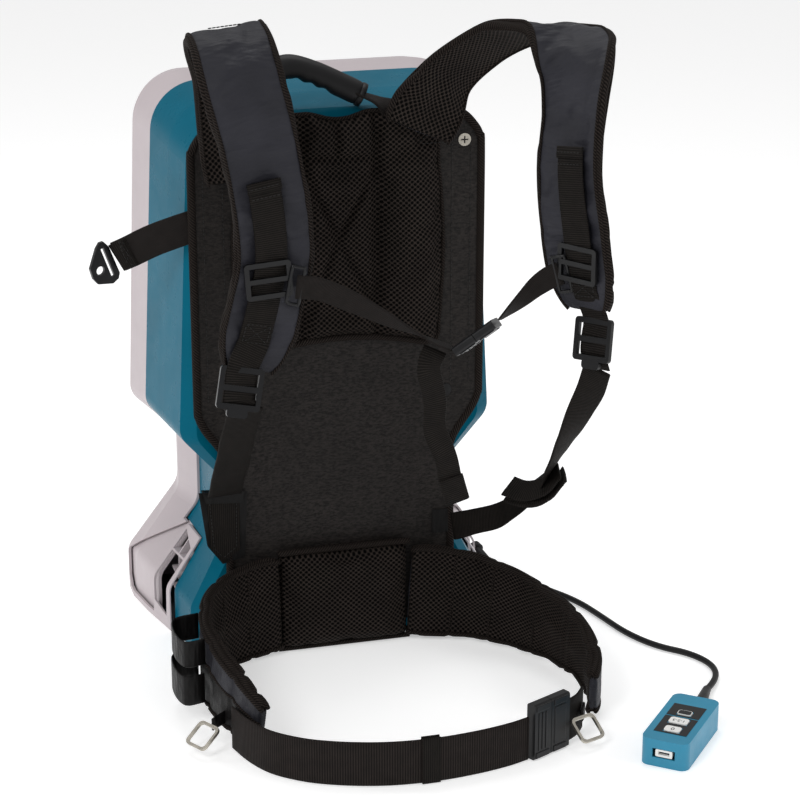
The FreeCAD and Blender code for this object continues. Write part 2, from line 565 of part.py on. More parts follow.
chest_tail = band([ahead(*p) for p in TAIL], CHEST_WEB, CHEST_THICK, TAIL_ACROSS)
chest_strap_right = band([ahead(*p) for p in CHEST_RIGHT], CHEST_WEB, CHEST_THICK,
                         [a.normalize() for a in CHEST_RIGHT_ACROSS])
CHEST_TWIST = 75.0           # the buckle hangs on edge
CHEST_TURN = 20.0
CHEST_ROLL = -38.0


def chest_piece(shape):
    return placed(shape, ahead(92, 207, 418), CHEST_TWIST, CHEST_ROLL, -CHEST_TURN)


CHEST_BUCKLE_H = 34.0
half_t = 5.0
half_h = CHEST_BUCKLE_H / 2
socket = rounded_box((0, 24), (-half_t, half_t), (-half_h, half_h), 3, V(1, 0, 0))
socket = socket.cut(box((-1, 19), (-half_t + 2, half_t - 2), (-half_h + 3, half_h - 3)))
chest_buckle_socket = chest_piece(socket)
plug = rounded_box((-26, -0.6), (-half_t, half_t), (-half_h, half_h), 3, V(1, 0, 0))
prongs = box((-6, 16), (-2.3, 2.3), (-half_h + 4, half_h - 4))
prongs = prongs.cut(box((1, 20), (-8, 8), (-5, 5)))
chest_buckle_plug = chest_piece(plug.fuse(prongs))

# ---- hose strap and its ring ----
HOSE_STRAP_W = 33.0
HOSE_STRAP_THICK = 2.4
HOSE_STRAP = [V(-158, -113, 497), V(-176, -109, 491), V(-200, -101, 481),
              V(-221, -91.5, 469), V(-232, -86, 463)]
HOSE_ACROSS = [V(0, 0, 1), V(-0.05, 0, 1), V(-0.15, 0, 1), V(-0.28, 0, 0.96), V(-0.35, 0, 0.94)]
hose_strap = band(HOSE_STRAP, HOSE_STRAP_W, HOSE_STRAP_THICK, [a.normalize() for a in HOSE_ACROSS])
hose_strap = hose_strap.cut(harness_plate).cut(front_housing).cut(rear_cover)
RING_PIVOT = V(-241.5, -80, 457)
RING_ROLL = -20.7
RING_TURN = 20.0
RING_BAR = 4.5               # from the slot to the bar that the strap goes round
TAG = [(0, 25), (4.5, 24), (8, 16), (8.5, -17), (5, -22),
       (-3, -24), (-19, -16), (-22, -8), (-21, 4), (-6, 21)]
tag = prism_y(TAG, -2, 2)
tag = tag.cut(box((-1.8, 1.8), (-5, 5), (-17, 18)))
tag = tag.cut(rod(4.8, V(-11, -5, -3.5), V(-11, 5, -3.5)))
tag.translate(V(-RING_BAR, 0, 0))
hose_strap_ring = placed(tag, RING_PIVOT, 0, RING_ROLL, RING_TURN)

# ---- carry handle ----
GRIP = [V(-64, -90, 653), V(-46, -91, 657), V(-22, -95, 650), V(4, -100, 638), V(28, -105, 626)]
GRIP_R = 12.5
GRIP_STRAP_W = 20.0
GRIP_STRAP_THICK = 2.4
grip_sections = []
for i, point in enumerate(GRIP):
    along = GRIP[min(i + 1, len(GRIP) - 1)] - GRIP[max(i - 1, 0)]
    grip_sections.append(Part.Wire(Part.Circle(point, along, GRIP_R).toShape()))
carry_grip = Part.makeLoft(grip_sections, True, False)
STRAP_LEFT = [V(-82, -118, 593), V(-80, -118, 609), V(-77, -108, 632), V(-71, -94, 648), V(-60, -90, 653)]
STRAP_RIGHT = [V(24, -104, 628), V(44, -112, 620), V(58, -117.5, 610), V(67, -118, 594)]
HANDLE_LEFT_ACROSS = [V(1, 0, 0), V(1, 0, 0), V(0.7, 0.7, 0), V(0.2, 0.98, 0), V(0, 1, 0)]
HANDLE_RIGHT_ACROSS = [V(0, 1, 0), V(0.5, 0.86, 0), V(0.98, 0.2, 0.1), V(1, 0, 0)]
carry_straps = [
    band(STRAP_LEFT, GRIP_STRAP_W, GRIP_STRAP_THICK, HANDLE_LEFT_ACROSS).cut(carry_grip),
    band(STRAP_RIGHT, GRIP_STRAP_W, GRIP_STRAP_THICK, HANDLE_RIGHT_ACROSS).cut(carry_grip),
]

# ---- wired remote, lying on its back beside the base ----
REMOTE_W, REMOTE_L, REMOTE_H = 50.5, 111.7, 30.0
REMOTE_CORNER = V(219, -484, 0)
REMOTE_TURN = -40.2


def on_remote(shape):
    return placed(shape, REMOTE_CORNER, 0, 0, REMOTE_TURN)


REMOTE_WALL = 2.5
half = REMOTE_H / 2
lower = rounded_box((0, REMOTE_W), (0, REMOTE_L), (0, half), 9, V(0, 0, 1))
upper = rounded_box((0, REMOTE_W), (0, REMOTE_L), (half, REMOTE_H), 9, V(0, 0, 1))
inner_x = (REMOTE_WALL, REMOTE_W - REMOTE_WALL)
inner_y = (REMOTE_WALL, REMOTE_L - REMOTE_WALL)
lower = lower.cut(rounded_box(inner_x, inner_y, (REMOTE_WALL, half + 1), 7, V(0, 0, 1)))
upper = upper.cut(rounded_box(inner_x, inner_y, (half - 1, REMOTE_H - REMOTE_WALL), 7, V(0, 0, 1)))
slot = box((REMOTE_W / 2 - 12, REMOTE_W / 2 + 12), (-1, 6), (10, 20))
upper = upper.cut(slot)
lower = lower.cut(slot)
BUTTONS = {"stop": (28.0, 17.0, 12.0), "speed": (48.0, 20.0, 13.0), "battery": (68.0, 15.0, 10.0)}
for name, (place, width, length) in BUTTONS.items():
    x = (REMOTE_W / 2 - width / 2, REMOTE_W / 2 + width / 2)
    y = (place - length / 2, place + length / 2)
    hole = rounded_box((x[0] - 0.4, x[1] + 0.4), (y[0] - 0.4, y[1] + 0.4), (20, 40), 3.4, V(0, 0, 1))
    upper = upper.cut(hole)
    button = rounded_box(x, y, (24, REMOTE_H + 1.2), 3, V(0, 0, 1))
    export("remote_button_" + name, on_remote(button))
export("remote_case_upper", on_remote(upper))
export("remote_case_lower", on_remote(lower))
middle = REMOTE_W / 2
remote_clip = rounded_box((middle - 9, middle + 9), (1, 5), (11, 19), 1.5, V(0, 1, 0))
remote_clip = remote_clip.cut(box((middle - 6, middle + 6), (0, 6), (13.2, 16.8)))
export("remote_clip", on_remote(remote_clip))

# ---- remote cord ----
# The route's points run from the outlet in the base's right side to the remote's strain relief.
CORD_Z = CORD_R + 0.1
RELIEF_TIP = V(345, -358, 7)
CORD_ROUTE = [V(221, 36, 12), V(229, 10, 6), V(246, -14, CORD_Z), V(269, -50, CORD_Z), V(292, -92, CORD_Z),
              V(304, -140, CORD_Z), V(315, -191, CORD_Z), V(336, -234, CORD_Z), V(366, -262, CORD_Z),
              V(379, -298, CORD_Z), V(367, -334, 4.5), RELIEF_TIP]


def cord_tube(route, radius):
    edges = []
    start = route[0]
    for i in range(1, len(route) - 1):
        before, after = route[i] - route[i - 1], route[i + 1] - route[i]
        turn = before.getAngle(after)
        arc = 0.45 * min(before.Length, after.Length) / math.tan(turn / 2)
        reach = arc * math.tan(turn / 2)
        inward, outward = before.normalize(), after.normalize()
        enter, leave = route[i] - inward * reach, route[i] + outward * reach
        bisector = (outward - inward).normalize()
        middle = route[i] + bisector * (arc / math.cos(turn / 2) - arc)
        edges.append(Part.LineSegment(start, enter).toShape())
        edges.append(Part.Arc(enter, middle, leave).toShape())
        start = leave
    edges.append(Part.LineSegment(start, route[-1]).toShape())
    path = Part.Wire(edges)
    section = Part.Wire(Part.Circle(route[0], route[1] - route[0], radius).toShape())
    return path.makePipeShell([section], True, True)


remote_cord = cord_tube(CORD_ROUTE, CORD_R)
GLAND_LENGTH = 30.0
gland_root = CORD_ROUTE[0] + (CORD_ROUTE[0] - CORD_ROUTE[1]).normalize() * GLAND_LENGTH
cord_gland = Part.makeCone(6.5, 4.4, GLAND_LENGTH, gland_root, CORD_ROUTE[0] - gland_root)
cord_gland = cord_gland.fuse(rod(9, gland_root, gland_root + (CORD_ROUTE[0] - gland_root).normalize() * 7))
cord_gland = cord_gland.cut(rear_outer).cut(remote_cord)
relief_root = on_remote(Part.Vertex(V(REMOTE_W / 2, REMOTE_L, 14))).Point
relief_run = RELIEF_TIP - relief_root
cord_relief = Part.makeCone(8.0, 4.6, relief_run.Length, relief_root, relief_run)
cord_relief = cord_relief.cut(on_remote(box((0, REMOTE_W), (-5, REMOTE_L), (0, REMOTE_H)))).cut(remote_cord)

# ---- export ----
for name, shape in {
    "front_housing": front_housing,
    "rear_cover": rear_cover,
    "base_pan": base_pan,
    "housing_screws": Part.makeCompound(housing_screws),
    "dust_lid": dust_lid,
    "lid_hinge_pin": lid_hinge_pin,
    "lid_latch": lid_latch,
    "hose_collar": hose_collar,
    "hose_socket": hose_socket,
    "battery_left": battery(-PACK_X),
    "battery_right": battery(PACK_X),
    "battery_button_left": battery_button(-PACK_X),
    "battery_button_right": battery_button(PACK_X),
    "battery_terminals": Part.makeCompound(battery_terminals),
    "motor_can": motor_can,
    "motor_bearings": Part.makeCompound(motor_bearings),
    "motor_shaft": motor_shaft,
    "impeller": impeller,
    "bulkhead": bulkhead,
    "exhaust_filter": exhaust_filter,
    "dust_bag": dust_bag,
    "harness_plate": harness_plate,
    "plate_screws": Part.makeCompound(plate_screws),
    "back_pad": back_pad,
    "lumbar_pad": lumbar_pad,
    "belt_wing_left": belt_wing_left,
    "belt_wing_right": belt_wing_right,
    "waist_webbing_left": Part.makeCompound([waist_webbing_left, ring_tab_left]),
    "waist_webbing_right": Part.makeCompound([waist_webbing_right, ring_tab_right]),
    "waist_buckle_socket": waist_buckle_socket,
    "waist_buckle_plug": waist_buckle_plug,
    "belt_ring_left": belt_ring_left,
    "belt_ring_right": belt_ring_right,
    "tool_loops": Part.makeCompound(tool_loops),
    "shoulder_pad_left": shoulder_pad_left,
    "shoulder_pad_right": shoulder_pad_right,
    "strap_webbing_left": strap_webbing_left,
    "strap_webbing_right": strap_webbing_right,
    "webbing_anchors": Part.makeCompound(webbing_anchors),
    "ladder_lock_left": ladder_lock_left,
    "ladder_lock_right": ladder_lock_right,
    "chest_slider_left": chest_slider_left,
    "chest_slider_right": chest_slider_right,
    "chest_strap_left": Part.makeCompound([chest_strap_left, chest_tail]),
    "chest_strap_right": chest_strap_right,
    "chest_buckle_socket": chest_buckle_socket,
    "chest_buckle_plug": chest_buckle_plug,
    "hose_strap": hose_strap,
    "hose_strap_ring": hose_strap_ring,
    "carry_grip": carry_grip,
    "carry_strap": Part.makeCompound(carry_straps),
    "remote_cord": remote_cord,
    "cord_gland": cord_gland,
    "cord_relief": cord_relief,
}.items():
    export(name, shape)
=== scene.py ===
"""Looks for the backpack vacuum cleaner: its fabrics, webbing, plastics and cord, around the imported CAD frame.

Places are written in millimetres, in the CAD's frame, and turned into metres by at() and ahead().
"""

import math

import bpy
import numpy as np
from mathutils import Matrix, Vector, noise


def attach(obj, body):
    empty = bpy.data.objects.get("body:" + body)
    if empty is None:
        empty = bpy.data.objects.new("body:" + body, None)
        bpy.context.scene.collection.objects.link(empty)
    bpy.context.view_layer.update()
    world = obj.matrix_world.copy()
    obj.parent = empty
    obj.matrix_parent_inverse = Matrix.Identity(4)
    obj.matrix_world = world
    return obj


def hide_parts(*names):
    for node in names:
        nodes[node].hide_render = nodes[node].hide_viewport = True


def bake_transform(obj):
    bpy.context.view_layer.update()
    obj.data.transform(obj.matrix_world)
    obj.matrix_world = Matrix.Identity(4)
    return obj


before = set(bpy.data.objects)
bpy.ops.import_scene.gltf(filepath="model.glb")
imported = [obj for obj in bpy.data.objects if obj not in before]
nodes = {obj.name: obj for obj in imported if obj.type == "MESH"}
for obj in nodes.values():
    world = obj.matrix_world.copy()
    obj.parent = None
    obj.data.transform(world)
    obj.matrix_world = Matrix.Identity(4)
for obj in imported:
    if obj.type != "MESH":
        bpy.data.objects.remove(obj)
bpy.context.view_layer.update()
MM = 0.001
PLATE_FRONT = -115.0         # front of the harness plate, which carries the straps
SEAT = "machine"             # the body that nearly everything rides on


def at(x, y, z):
    return Vector((x, y, z)) * MM


def ahead(x, distance, z):
    """A point a distance in front of the harness plate."""
    return at(x, PLATE_FRONT - distance, z)


# ---- camera, floor and light ----
AZIMUTH = math.radians(-15.6)
ELEVATION = math.radians(19.1)
target = at(68.4, -115, 282.9)
back = Vector((math.sin(AZIMUTH) * math.cos(ELEVATION), -math.cos(AZIMUTH) * math.cos(ELEVATION),
               math.sin(ELEVATION)))
camera = bpy.data.objects.new("camera", bpy.data.cameras.new("camera"))
camera.location = target + back * 2.6228
camera.rotation_mode = "QUATERNION"
camera.rotation_quaternion = back.to_track_quat("Z", "Y")
camera.data.lens = 106.6
camera.data.sensor_width = 36.0
bpy.context.collection.objects.link(camera)
bpy.context.scene.camera = camera


def lamp(name, place, aim, size, power):
    made = bpy.data.objects.new(name, bpy.data.lights.new(name, "AREA"))
    made.data.shape = "RECTANGLE"
    made.data.size, made.data.size_y = size
    made.data.energy = power
    made.location = place
    made.rotation_mode = "QUATERNION"
    made.rotation_quaternion = (Vector(place) - Vector(aim)).to_track_quat("Z", "Y")
    bpy.context.collection.objects.link(made)


middle = (0.03, -0.1, 0.32)
lamp("key", (-1.9, -2.0, 2.4), middle, (0.9, 1.3), 30)
lamp("fill", (2.4, -1.9, 1.5), middle, (0.7, 1.4), 14)
lamp("side", (-2.4, 0.7, 1.0), middle, (0.35, 1.8), 14)
lamp("top", (0.2, 0.6, 2.6), middle, (1.6, 0.9), 18)
world = bpy.data.worlds.new("studio")
world.use_nodes = True
world.node_tree.nodes["Background"].inputs["Color"].default_value = (1, 1, 1, 1)
world.node_tree.nodes["Background"].inputs["Strength"].default_value = 0.5
bpy.context.scene.world = world
bpy.context.scene.view_settings.view_transform = "Standard"


# ---- materials ----
def tint(code):
    parts = [int(code[i:i + 2], 16) / 255 for i in (0, 2, 4)]
    return tuple(c / 12.92 if c < 0.0405 else ((c + 0.055) / 1.055) ** 2.4 for c in parts) + (1.0,)


class Look:
    """A procedural material, built node by node round one shader."""

    def __init__(self, name, rough=0.5, **sockets):
        self.material = bpy.data.materials.new(name)
        self.material.use_nodes = True
        self.tree = self.material.node_tree
        self.shader = self.tree.nodes["Principled BSDF"]
        self.shader.inputs["Roughness"].default_value = rough
        for socket, value in sockets.items():
            self.shader.inputs[socket.replace("_", " ")].default_value = value
        places = self.tree.nodes.new("ShaderNodeTexCoord")
        self.place = places.outputs["Object"]
        self.cloth = places.outputs["UV"]

    def node(self, kind, feeds, **settings):
        made = self.tree.nodes.new("ShaderNode" + kind)
        for key, value in settings.items():
            setattr(made, key, value)
        for key, value in feeds.items():
            if isinstance(value, bpy.types.NodeSocket):
                self.tree.links.new(value, made.inputs[key])
            else:
                made.inputs[key].default_value = value
        return made

    def math(self, operation, a, b=0.0):
        return self.node("Math", {0: a, 1: b}, operation=operation).outputs[0]

    def wave(self, value, pitch):
        """0 to 1 and back over each pitch."""
        turned = self.math("SINE", self.math("MULTIPLY", value, 2 * math.pi / pitch))
        return self.node("Math", {0: turned, 1: 0.5, 2: 0.5}, operation="MULTIPLY_ADD").outputs[0]

    def ramp(self, value, low, high, start=0.0, end=1.0):
        feeds = {"Value": value, "From Min": low, "From Max": high, "To Min": start, "To Max": end}
        return self.node("MapRange", feeds).outputs["Result"]

    def stretched(self, vector, scale, turn=0.0):
        feeds = {"Vector": vector, "Scale": scale, "Rotation": (0, 0, turn)}
        return self.node("Mapping", feeds).outputs["Vector"]

    def speckle(self, vector, scale, detail=3.0, rough=0.5):
        feeds = {"Vector": vector, "Scale": scale, "Detail": detail, "Roughness": rough}
        return self.node("TexNoise", feeds).outputs["Fac"]

    def blend(self, factor, a, b):
        return self.node("Mix", {0: factor, 6: a, 7: b}, data_type="RGBA").outputs[2]

    def split(self, vector):
        made = self.node("SeparateXYZ", {"Vector": vector})
        return made.outputs["X"], made.outputs["Y"]

    def finish(self, colour, heights=(), rough=None):
        """Joins the colour, a chain of (height, depth in metres) bumps and a roughness to the shader."""
        self.tree.links.new(colour, self.shader.inputs["Base Color"])
        normal = None
        for height, depth in heights:
            feeds = {"Height": height, "Distance": depth, "Strength": 1.0}
            if normal is not None:
                feeds["Normal"] = normal
            normal = self.node("Bump", feeds).outputs["Normal"]
        if normal is not None:
            self.tree.links.new(normal, self.shader.inputs["Normal"])
        if rough is not None:
            self.tree.links.new(rough, self.shader.inputs["Roughness"])
        return self.material


def plastic(name, colour, rough, grain=0.00003, grain_scale=900.0, drift=0.06, **sockets):
    """Moulded plastic: faint flow marks in its colour, a fine grain, and uneven gloss."""
    look = Look(name, rough, **sockets)
    base = tint(colour)
    dark = tuple(c * (1 - drift) for c in base[:3]) + (1,)
    light = tuple(min(1, c * (1 + drift)) for c in base[:3]) + (1,)
    marks = look.speckle(look.place, 9.0, 4.0)
    tone = look.blend(look.ramp(marks, 0.35, 0.65), dark, light)
    gloss = look.ramp(look.speckle(look.place, 60.0, 4.0), 0.3, 0.7, rough * 0.85, rough * 1.15)
    return look.finish(tone, [(look.speckle(look.place, grain_scale, 2.0), grain)], gloss)


def webbing(name, light, dark, pitch=0.0022):
    """Woven strap: ribs across it and fine yarns along it, with painted shade in the troughs and a painted highlight on
    the crests.
    """
    look = Look(name, 0.62, Specular_IOR_Level=0.13)
    along, across = look.split(look.cloth)
    rib = look.wave(along, pitch)
    yarn = look.wave(look.math("ADD", across, look.math("MULTIPLY", along, 0.35)), 0.0013)
    worn = look.speckle(look.stretched(look.cloth, (1, 1, 1)), 90.0, 5.0)
    weave = look.math("ADD", look.math("MULTIPLY", rib, 0.75), look.math("MULTIPLY", yarn, 0.25))
    # painted shade and highlight: the weave's height darkens the troughs and lightens the crests; the worn noise adds
    # real wear on top
    tone = look.blend(look.math("MULTIPLY", weave, look.ramp(worn, 0.2, 0.8, 0.55, 1.1)), tint(dark), tint(light))
    return look.finish(tone, [(weave, 0.0004), (worn, 0.0002)], look.ramp(weave, 0, 1, 0.85, 0.62))


def air_mesh(name, light, dark, pitch=0.0044):
    """Knitted spacer mesh: staggered oval holes between soft threads, the holes painted near black as shade and the
    threads painted light as highlight.
    """
    look = Look(name, 0.75, Specular_IOR_Level=0.05)
    drifted = look.node("VectorMath", {0: look.node("TexNoise", {"Vector": look.cloth, "Scale": 14.0})
                                       .outputs["Color"], 1: (0.004, 0.004, 0), 2: look.cloth},
                        operation="MULTIPLY_ADD")
    turned = look.stretched(drifted.outputs["Vector"], (1, 1.12, 1), math.radians(45))
    cells = look.node("TexVoronoi", {"Vector": turned, "Scale": 1 / pitch, "Randomness": 0.0},
                      voronoi_dimensions="2D").outputs["Distance"]
    hole = look.ramp(cells, 0.26, 0.5)
    thread = look.speckle(look.stretched(look.cloth, (1.0, 0.4, 1), math.radians(45)), 1400.0, 2.0)
    shade = look.ramp(look.speckle(look.cloth, 30.0, 3.0), 0.3, 0.7, 0.7, 1.0)
    # painted shade in the holes and a painted highlight on the threads, with random fibre tone
    lit = look.math("MULTIPLY", look.math("MULTIPLY", hole, look.ramp(thread, 0.3, 0.7, 0.6, 1.0)), shade)
    tone = look.blend(lit, tint(dark), tint(light))
    return look.finish(tone, [(hole, 0.0011), (thread, 0.0002)])


def nylon(name, light, dark):
    """Coated pack cloth: a fine plain weave that creases."""
    look = Look(name, 0.5, Specular_IOR_Level=0.2)
    along, across = look.split(look.cloth)
    weave = look.math("MULTIPLY", look.wave(along, 0.0009), look.wave(across, 0.0009))
    crease = look.speckle(look.stretched(look.cloth, (1.8, 0.6, 1)), 24.0, 3.0, 0.5)
    soft = look.speckle(look.cloth, 11.0, 2.0)
    tone = look.blend(look.ramp(soft, 0.3, 0.7), tint(dark), tint(light))
    return look.finish(tone, [(crease, 0.009), (weave, 0.00012)], look.ramp(crease, 0.3, 0.7, 0.42, 0.6))


def leatherette(name, light, dark):
    look = Look(name, 0.46, Specular_IOR_Level=0.16)
    stretched = look.stretched(look.place, (0.5, 1, 1.1))
    grain = look.speckle(stretched, 520.0, 3.0, 0.6)
    pores = look.node("TexVoronoi", {"Vector": stretched, "Scale": 900.0}).outputs["Distance"]
    soft = look.speckle(look.place, 12.0, 2.0)
    height = look.math("ADD", grain, look.math("MULTIPLY", pores, 0.5))
    tone = look.blend(look.math("MULTIPLY", look.ramp(grain, 0.35, 0.62), look.ramp(soft, 0.3, 0.7, 0.7, 1.0)),
                      tint(dark), tint(light))
    return look.finish(tone, [(height, 0.00055)], look.ramp(grain, 0.3, 0.7, 0.6, 0.4))


def braid(name, light, dark, pitch=0.0032):
    """Woven binding tape wrapped over an edge: slanting ribs, with a painted highlight on their crests and painted
    shade in the grooves.
    """
    look = Look(name, 0.75, Specular_IOR_Level=0.08)
    along, around = look.split(look.cloth)
    slant = look.wave(look.math("ADD", along, look.math("MULTIPLY", around, 0.8)), pitch)
    fuzz = look.speckle(look.cloth, 700.0, 2.0)
    # painted highlight on the rib crests and painted shade in the grooves between them, with random fuzz
    tone = look.blend(look.math("MULTIPLY", slant, look.ramp(fuzz, 0.3, 0.7, 0.5, 1.0)), tint(dark), tint(light))
    return look.finish(tone, [(slant, 0.0006), (fuzz, 0.0002)])


def metal(name, colour, rough):
    look = Look(name, rough, Metallic=1.0)
    brushed = look.speckle(look.stretched(look.place, (1, 1, 12)), 300.0, 3.0)
    dull = look.speckle(look.place, 120.0, 4.0)
    base = tint(colour)
    tone = look.blend(look.ramp(dull, 0.35, 0.7), tuple(c * 0.72 for c in base[:3]) + (1,), base)
    return look.finish(tone, [(brushed, 0.00004)], look.ramp(brushed, 0.3, 0.7, rough * 0.8, rough * 1.4))


TEAL = plastic("teal_plastic", "00596f", 0.3, grain=0.000008, drift=0.08, Specular_IOR_Level=0.04)
REMOTE_TEAL = plastic("remote_teal", "2387a8", 0.42, grain=0.00006, grain_scale=1500.0)
GREY = plastic("light_grey_plastic", "b5abae", 0.42, grain=0.00004, drift=0.03)
DARK_GREY = plastic("dark_grey_plastic", "3a3b3f", 0.5)
BLACK = plastic("black_plastic", "0e0e10", 0.33, Specular_IOR_Level=0.3, grain=0.00004, drift=0.15)
RUBBER = plastic("black_rubber", "121112", 0.5, Specular_IOR_Level=0.25, grain=0.00008, grain_scale=1400.0, drift=0.12)
WHITE = plastic("white_plastic", "f0efec", 0.4, drift=0.03)
RED = plastic("red_plastic", "b3272d", 0.35)
# the light and dark colours of the webbing and air mesh are painted highlight and painted shade on their weave
WEB = webbing("webbing", "241f1c", "030302")
CHEST_WEB = webbing("chest_webbing", "2b2624", "0d0b0a", 0.0012)
MESH = air_mesh("air_mesh", "3c3531", "010101")
PACK_CLOTH = nylon("pack_cloth", "2c2c33", "1d1d22")
BLACK_CLOTH = nylon("black_cloth", "100e0e", "080707")
LEATHER = leatherette("leatherette", "2a2624", "0f0d0c")
# the binding's light and dark colours are painted highlight and painted shade on its ribs
PIPING = braid("edge_binding", "352e2a", "040303")
THREAD = plastic("thread", "0d0c0b", 0.7)
STEEL = metal("steel", "cfc9bd", 0.3)
PAPER = plastic("filter_paper", "d9d4c4", 0.9, grain=0.0002, grain_scale=300.0)
BAG_CLOTH = nylon("bag_cloth", "c9c4b8", "b5b0a2")


# ---- mesh helpers ----
def piece(name, points, faces, material, body=SEAT, uvs=None, smooth=True, extra=(), slots=None):
    """A mesh object in the row frame that rides on a body. uvs holds one (u, v) per face corner, in metres."""
    mesh = bpy.data.meshes.new(name)
    mesh.from_pydata([tuple(p) for p in points], [], faces)
    mesh.materials.append(material)
    for other in extra:
        mesh.materials.append(other)
    if slots is not None:
        mesh.polygons.foreach_set("material_index", slots)
    if uvs is not None:
        layer = mesh.uv_layers.new(name="cloth")
        layer.data.foreach_set("uv", np.array(uvs, np.float32).ravel())
    mesh.polygons.foreach_set("use_smooth", [smooth] * len(faces))
    mesh.update()
    made = bpy.data.objects.new(name, mesh)
    bpy.context.collection.objects.link(made)
    if body:
        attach(made, body)
    return made


def modify(obj, kind, **settings):
    made = obj.modifiers.new(kind.lower(), kind)
    for key, value in settings.items():
        setattr(made, key, value)
    return made


def flow(rows, pitch):
    """Rows of numbers, the first three a place, filled in along a smooth curve to about one each pitch."""
    rows = np.array(rows, float)
    padded = np.vstack([2 * rows[0] - rows[1], rows, 2 * rows[-1] - rows[-2]])
    out = []
    for before, a, b, after in zip(padded, padded[1:], padded[2:], padded[3:]):
        steps = max(1, round(float(np.linalg.norm(b[:3] - a[:3])) / pitch))
        for t in np.arange(steps) / steps:
            out.append(0.5 * (2 * a + (b - before) * t + (2 * before - 5 * a + 4 * b - after) * t * t
                              + (3 * a - before - 3 * b + after) * t ** 3))
    return np.array(out + [rows[-1]])


def directions(places):
    along = np.gradient(places, axis=0)
    return along / np.linalg.norm(along, axis=1)[:, None]


def sweep(name, places, sides, section, material, body=SEAT, caps=True, looped=False, extra=(), pick=None,
          lift=None):
    """Skin of a closed section carried along places.

    section is (across, out) offsets, or a function of the station giving them; sides is the across
    direction at each place; pick gives the material index of each strip round the section.
    """
    along = directions(places)
    sides = sides - along * (sides * along).sum(1)[:, None]
    sides /= np.linalg.norm(sides, axis=1)[:, None]
    outs = np.cross(along, sides)
    points, rounds = [], []
    for i, (place, side, out) in enumerate(zip(places, sides, outs)):
        ring = np.array(section(i) if callable(section) else section, float)
        rounds.append(ring)
        points.extend(place + side * a + out * b for a, b in ring)
    count, size = len(places), len(rounds[0])
    step = np.linalg.norm(np.diff(places, axis=0), axis=1)
    u = np.concatenate([[0], np.cumsum(step)])
    v = np.concatenate([[0], np.cumsum(np.linalg.norm(np.diff(np.vstack([rounds[0], rounds[0][:1]]), axis=0),
                                                      axis=1))])
    faces, uvs, slots = [], [], []
    for i in range(count if looped else count - 1):
        n = (i + 1) % count
        far = u[i] + (step[0] if n == 0 else step[i])
        for j in range(size):
            k = (j + 1) % size
            faces.append((i * size + j, n * size + j, n * size + k, i * size + k))
            uvs += [(u[i], v[j]), (far, v[j]), (far, v[j + 1]), (u[i], v[j + 1])]
            slots.append(pick(j) if pick else 0)
    if caps and not looped:
        for i, ring in ((0, range(size)), (count - 1, reversed(range(size)))):
            faces.append(tuple(i * size + j for j in ring))
            uvs += [tuple(rounds[i][j]) for j in (range(size) if i == 0 else reversed(range(size)))]
            slots.append(0)
    return piece(name, points, faces, material, body, uvs, extra=extra, slots=slots)


def carried(places, start):
    """Across directions that turn no more than the line does."""
    along = directions(places)
    side = np.array(start, float)
    out = []
    for step in along:
        side = side - step * side.dot(step)
        side = side / np.linalg.norm(side)
        out.append(side)
    return np.array(out)


def circle(radius, count=10, flat=1.0):
    return [(radius * math.cos(2 * math.pi * k / count), radius * flat * math.sin(2 * math.pi * k / count))
            for k in range(count)]


def rod(name, rows, radius, material, body=SEAT, pitch=4.0, start=(0, 0, 1), looped=False, count=10, flat=1.0):
    """Round bar or piping along a smooth line through rows of millimetres."""
    if looped:
        rows = list(rows) + [rows[0]]
    places = flow(rows, pitch) * MM
    if looped:
        places = places[:-1]
    return sweep(name, places, carried(places, start), circle(radius * MM, count, flat), material, body,
                 looped=looped)


def flat_section(width, thick, count=9):
    """Section of a strap: two flat faces with rounded edges."""
    half, t = width / 2, thick / 2
    top = [(x, t) for x in np.linspace(half - t, -half + t, count)]
    return [(half, 0)] + top + [(-half, 0)] + [(x, -y) for x, y in reversed(top)]


def strap(name, rows, across, width, thick=2.2, material=None, body=SEAT, pitch=5.0, wobble=0.0, seed=0.0):
    """Webbing along rows of (x, y, z) in millimetres, with its width direction at each row."""
    full = [tuple(r) + tuple(Vector(a).normalized()) for r, a in zip(rows, across)]
    filled = flow(full, pitch)
    places, sides = filled[:, :3] * MM, filled[:, 3:]
    made = sweep(name, places, sides, flat_section(width * MM, thick * MM), material or WEB, body)
    if wobble:
        for v in made.data.vertices:
            v.co += noise.noise_vector(v.co * 28 + Vector((seed, 0, 0))) * wobble * MM
    return made


def stitches(name, lines, material=THREAD, body=SEAT, length=3.0, gap=1.4, radius=0.45):
    """Rows of short raised threads. Each line is a polyline in metres."""
    points, faces = [], []
    for line in lines:
        line = [Vector(p) for p in line]
        for a, b in zip(line, line[1:]):
            run = b - a
            along = run.normalized()
            side = along.orthogonal().normalized()
            up = along.cross(side)
            for k in range(int(run.length / ((length + gap) * MM))):
                mid = a + along * (k + 0.5) * (length + gap) * MM
                base = len(points)
                for t, r in ((-0.5, 0.35), (-0.3, 1.0), (0.3, 1.0), (0.5, 0.35)):
                    for q in range(6):
                        angle = math.pi * q / 3
                        points.append(mid + along * t * length * MM
                                      + (side * math.cos(angle) + up * math.sin(angle)) * radius * r * MM)
                for ring in range(3):
                    for q in range(6):
                        n = (q + 1) % 6
                        faces.append((base + ring * 6 + q, base + ring * 6 + n,
                                      base + ring * 6 + 6 + n, base + ring * 6 + 6 + q))
                faces.append(tuple(base + q for q in reversed(range(6))))
                faces.append(tuple(base + 18 + q for q in range(6)))
    return piece(name, points, faces, material, body)


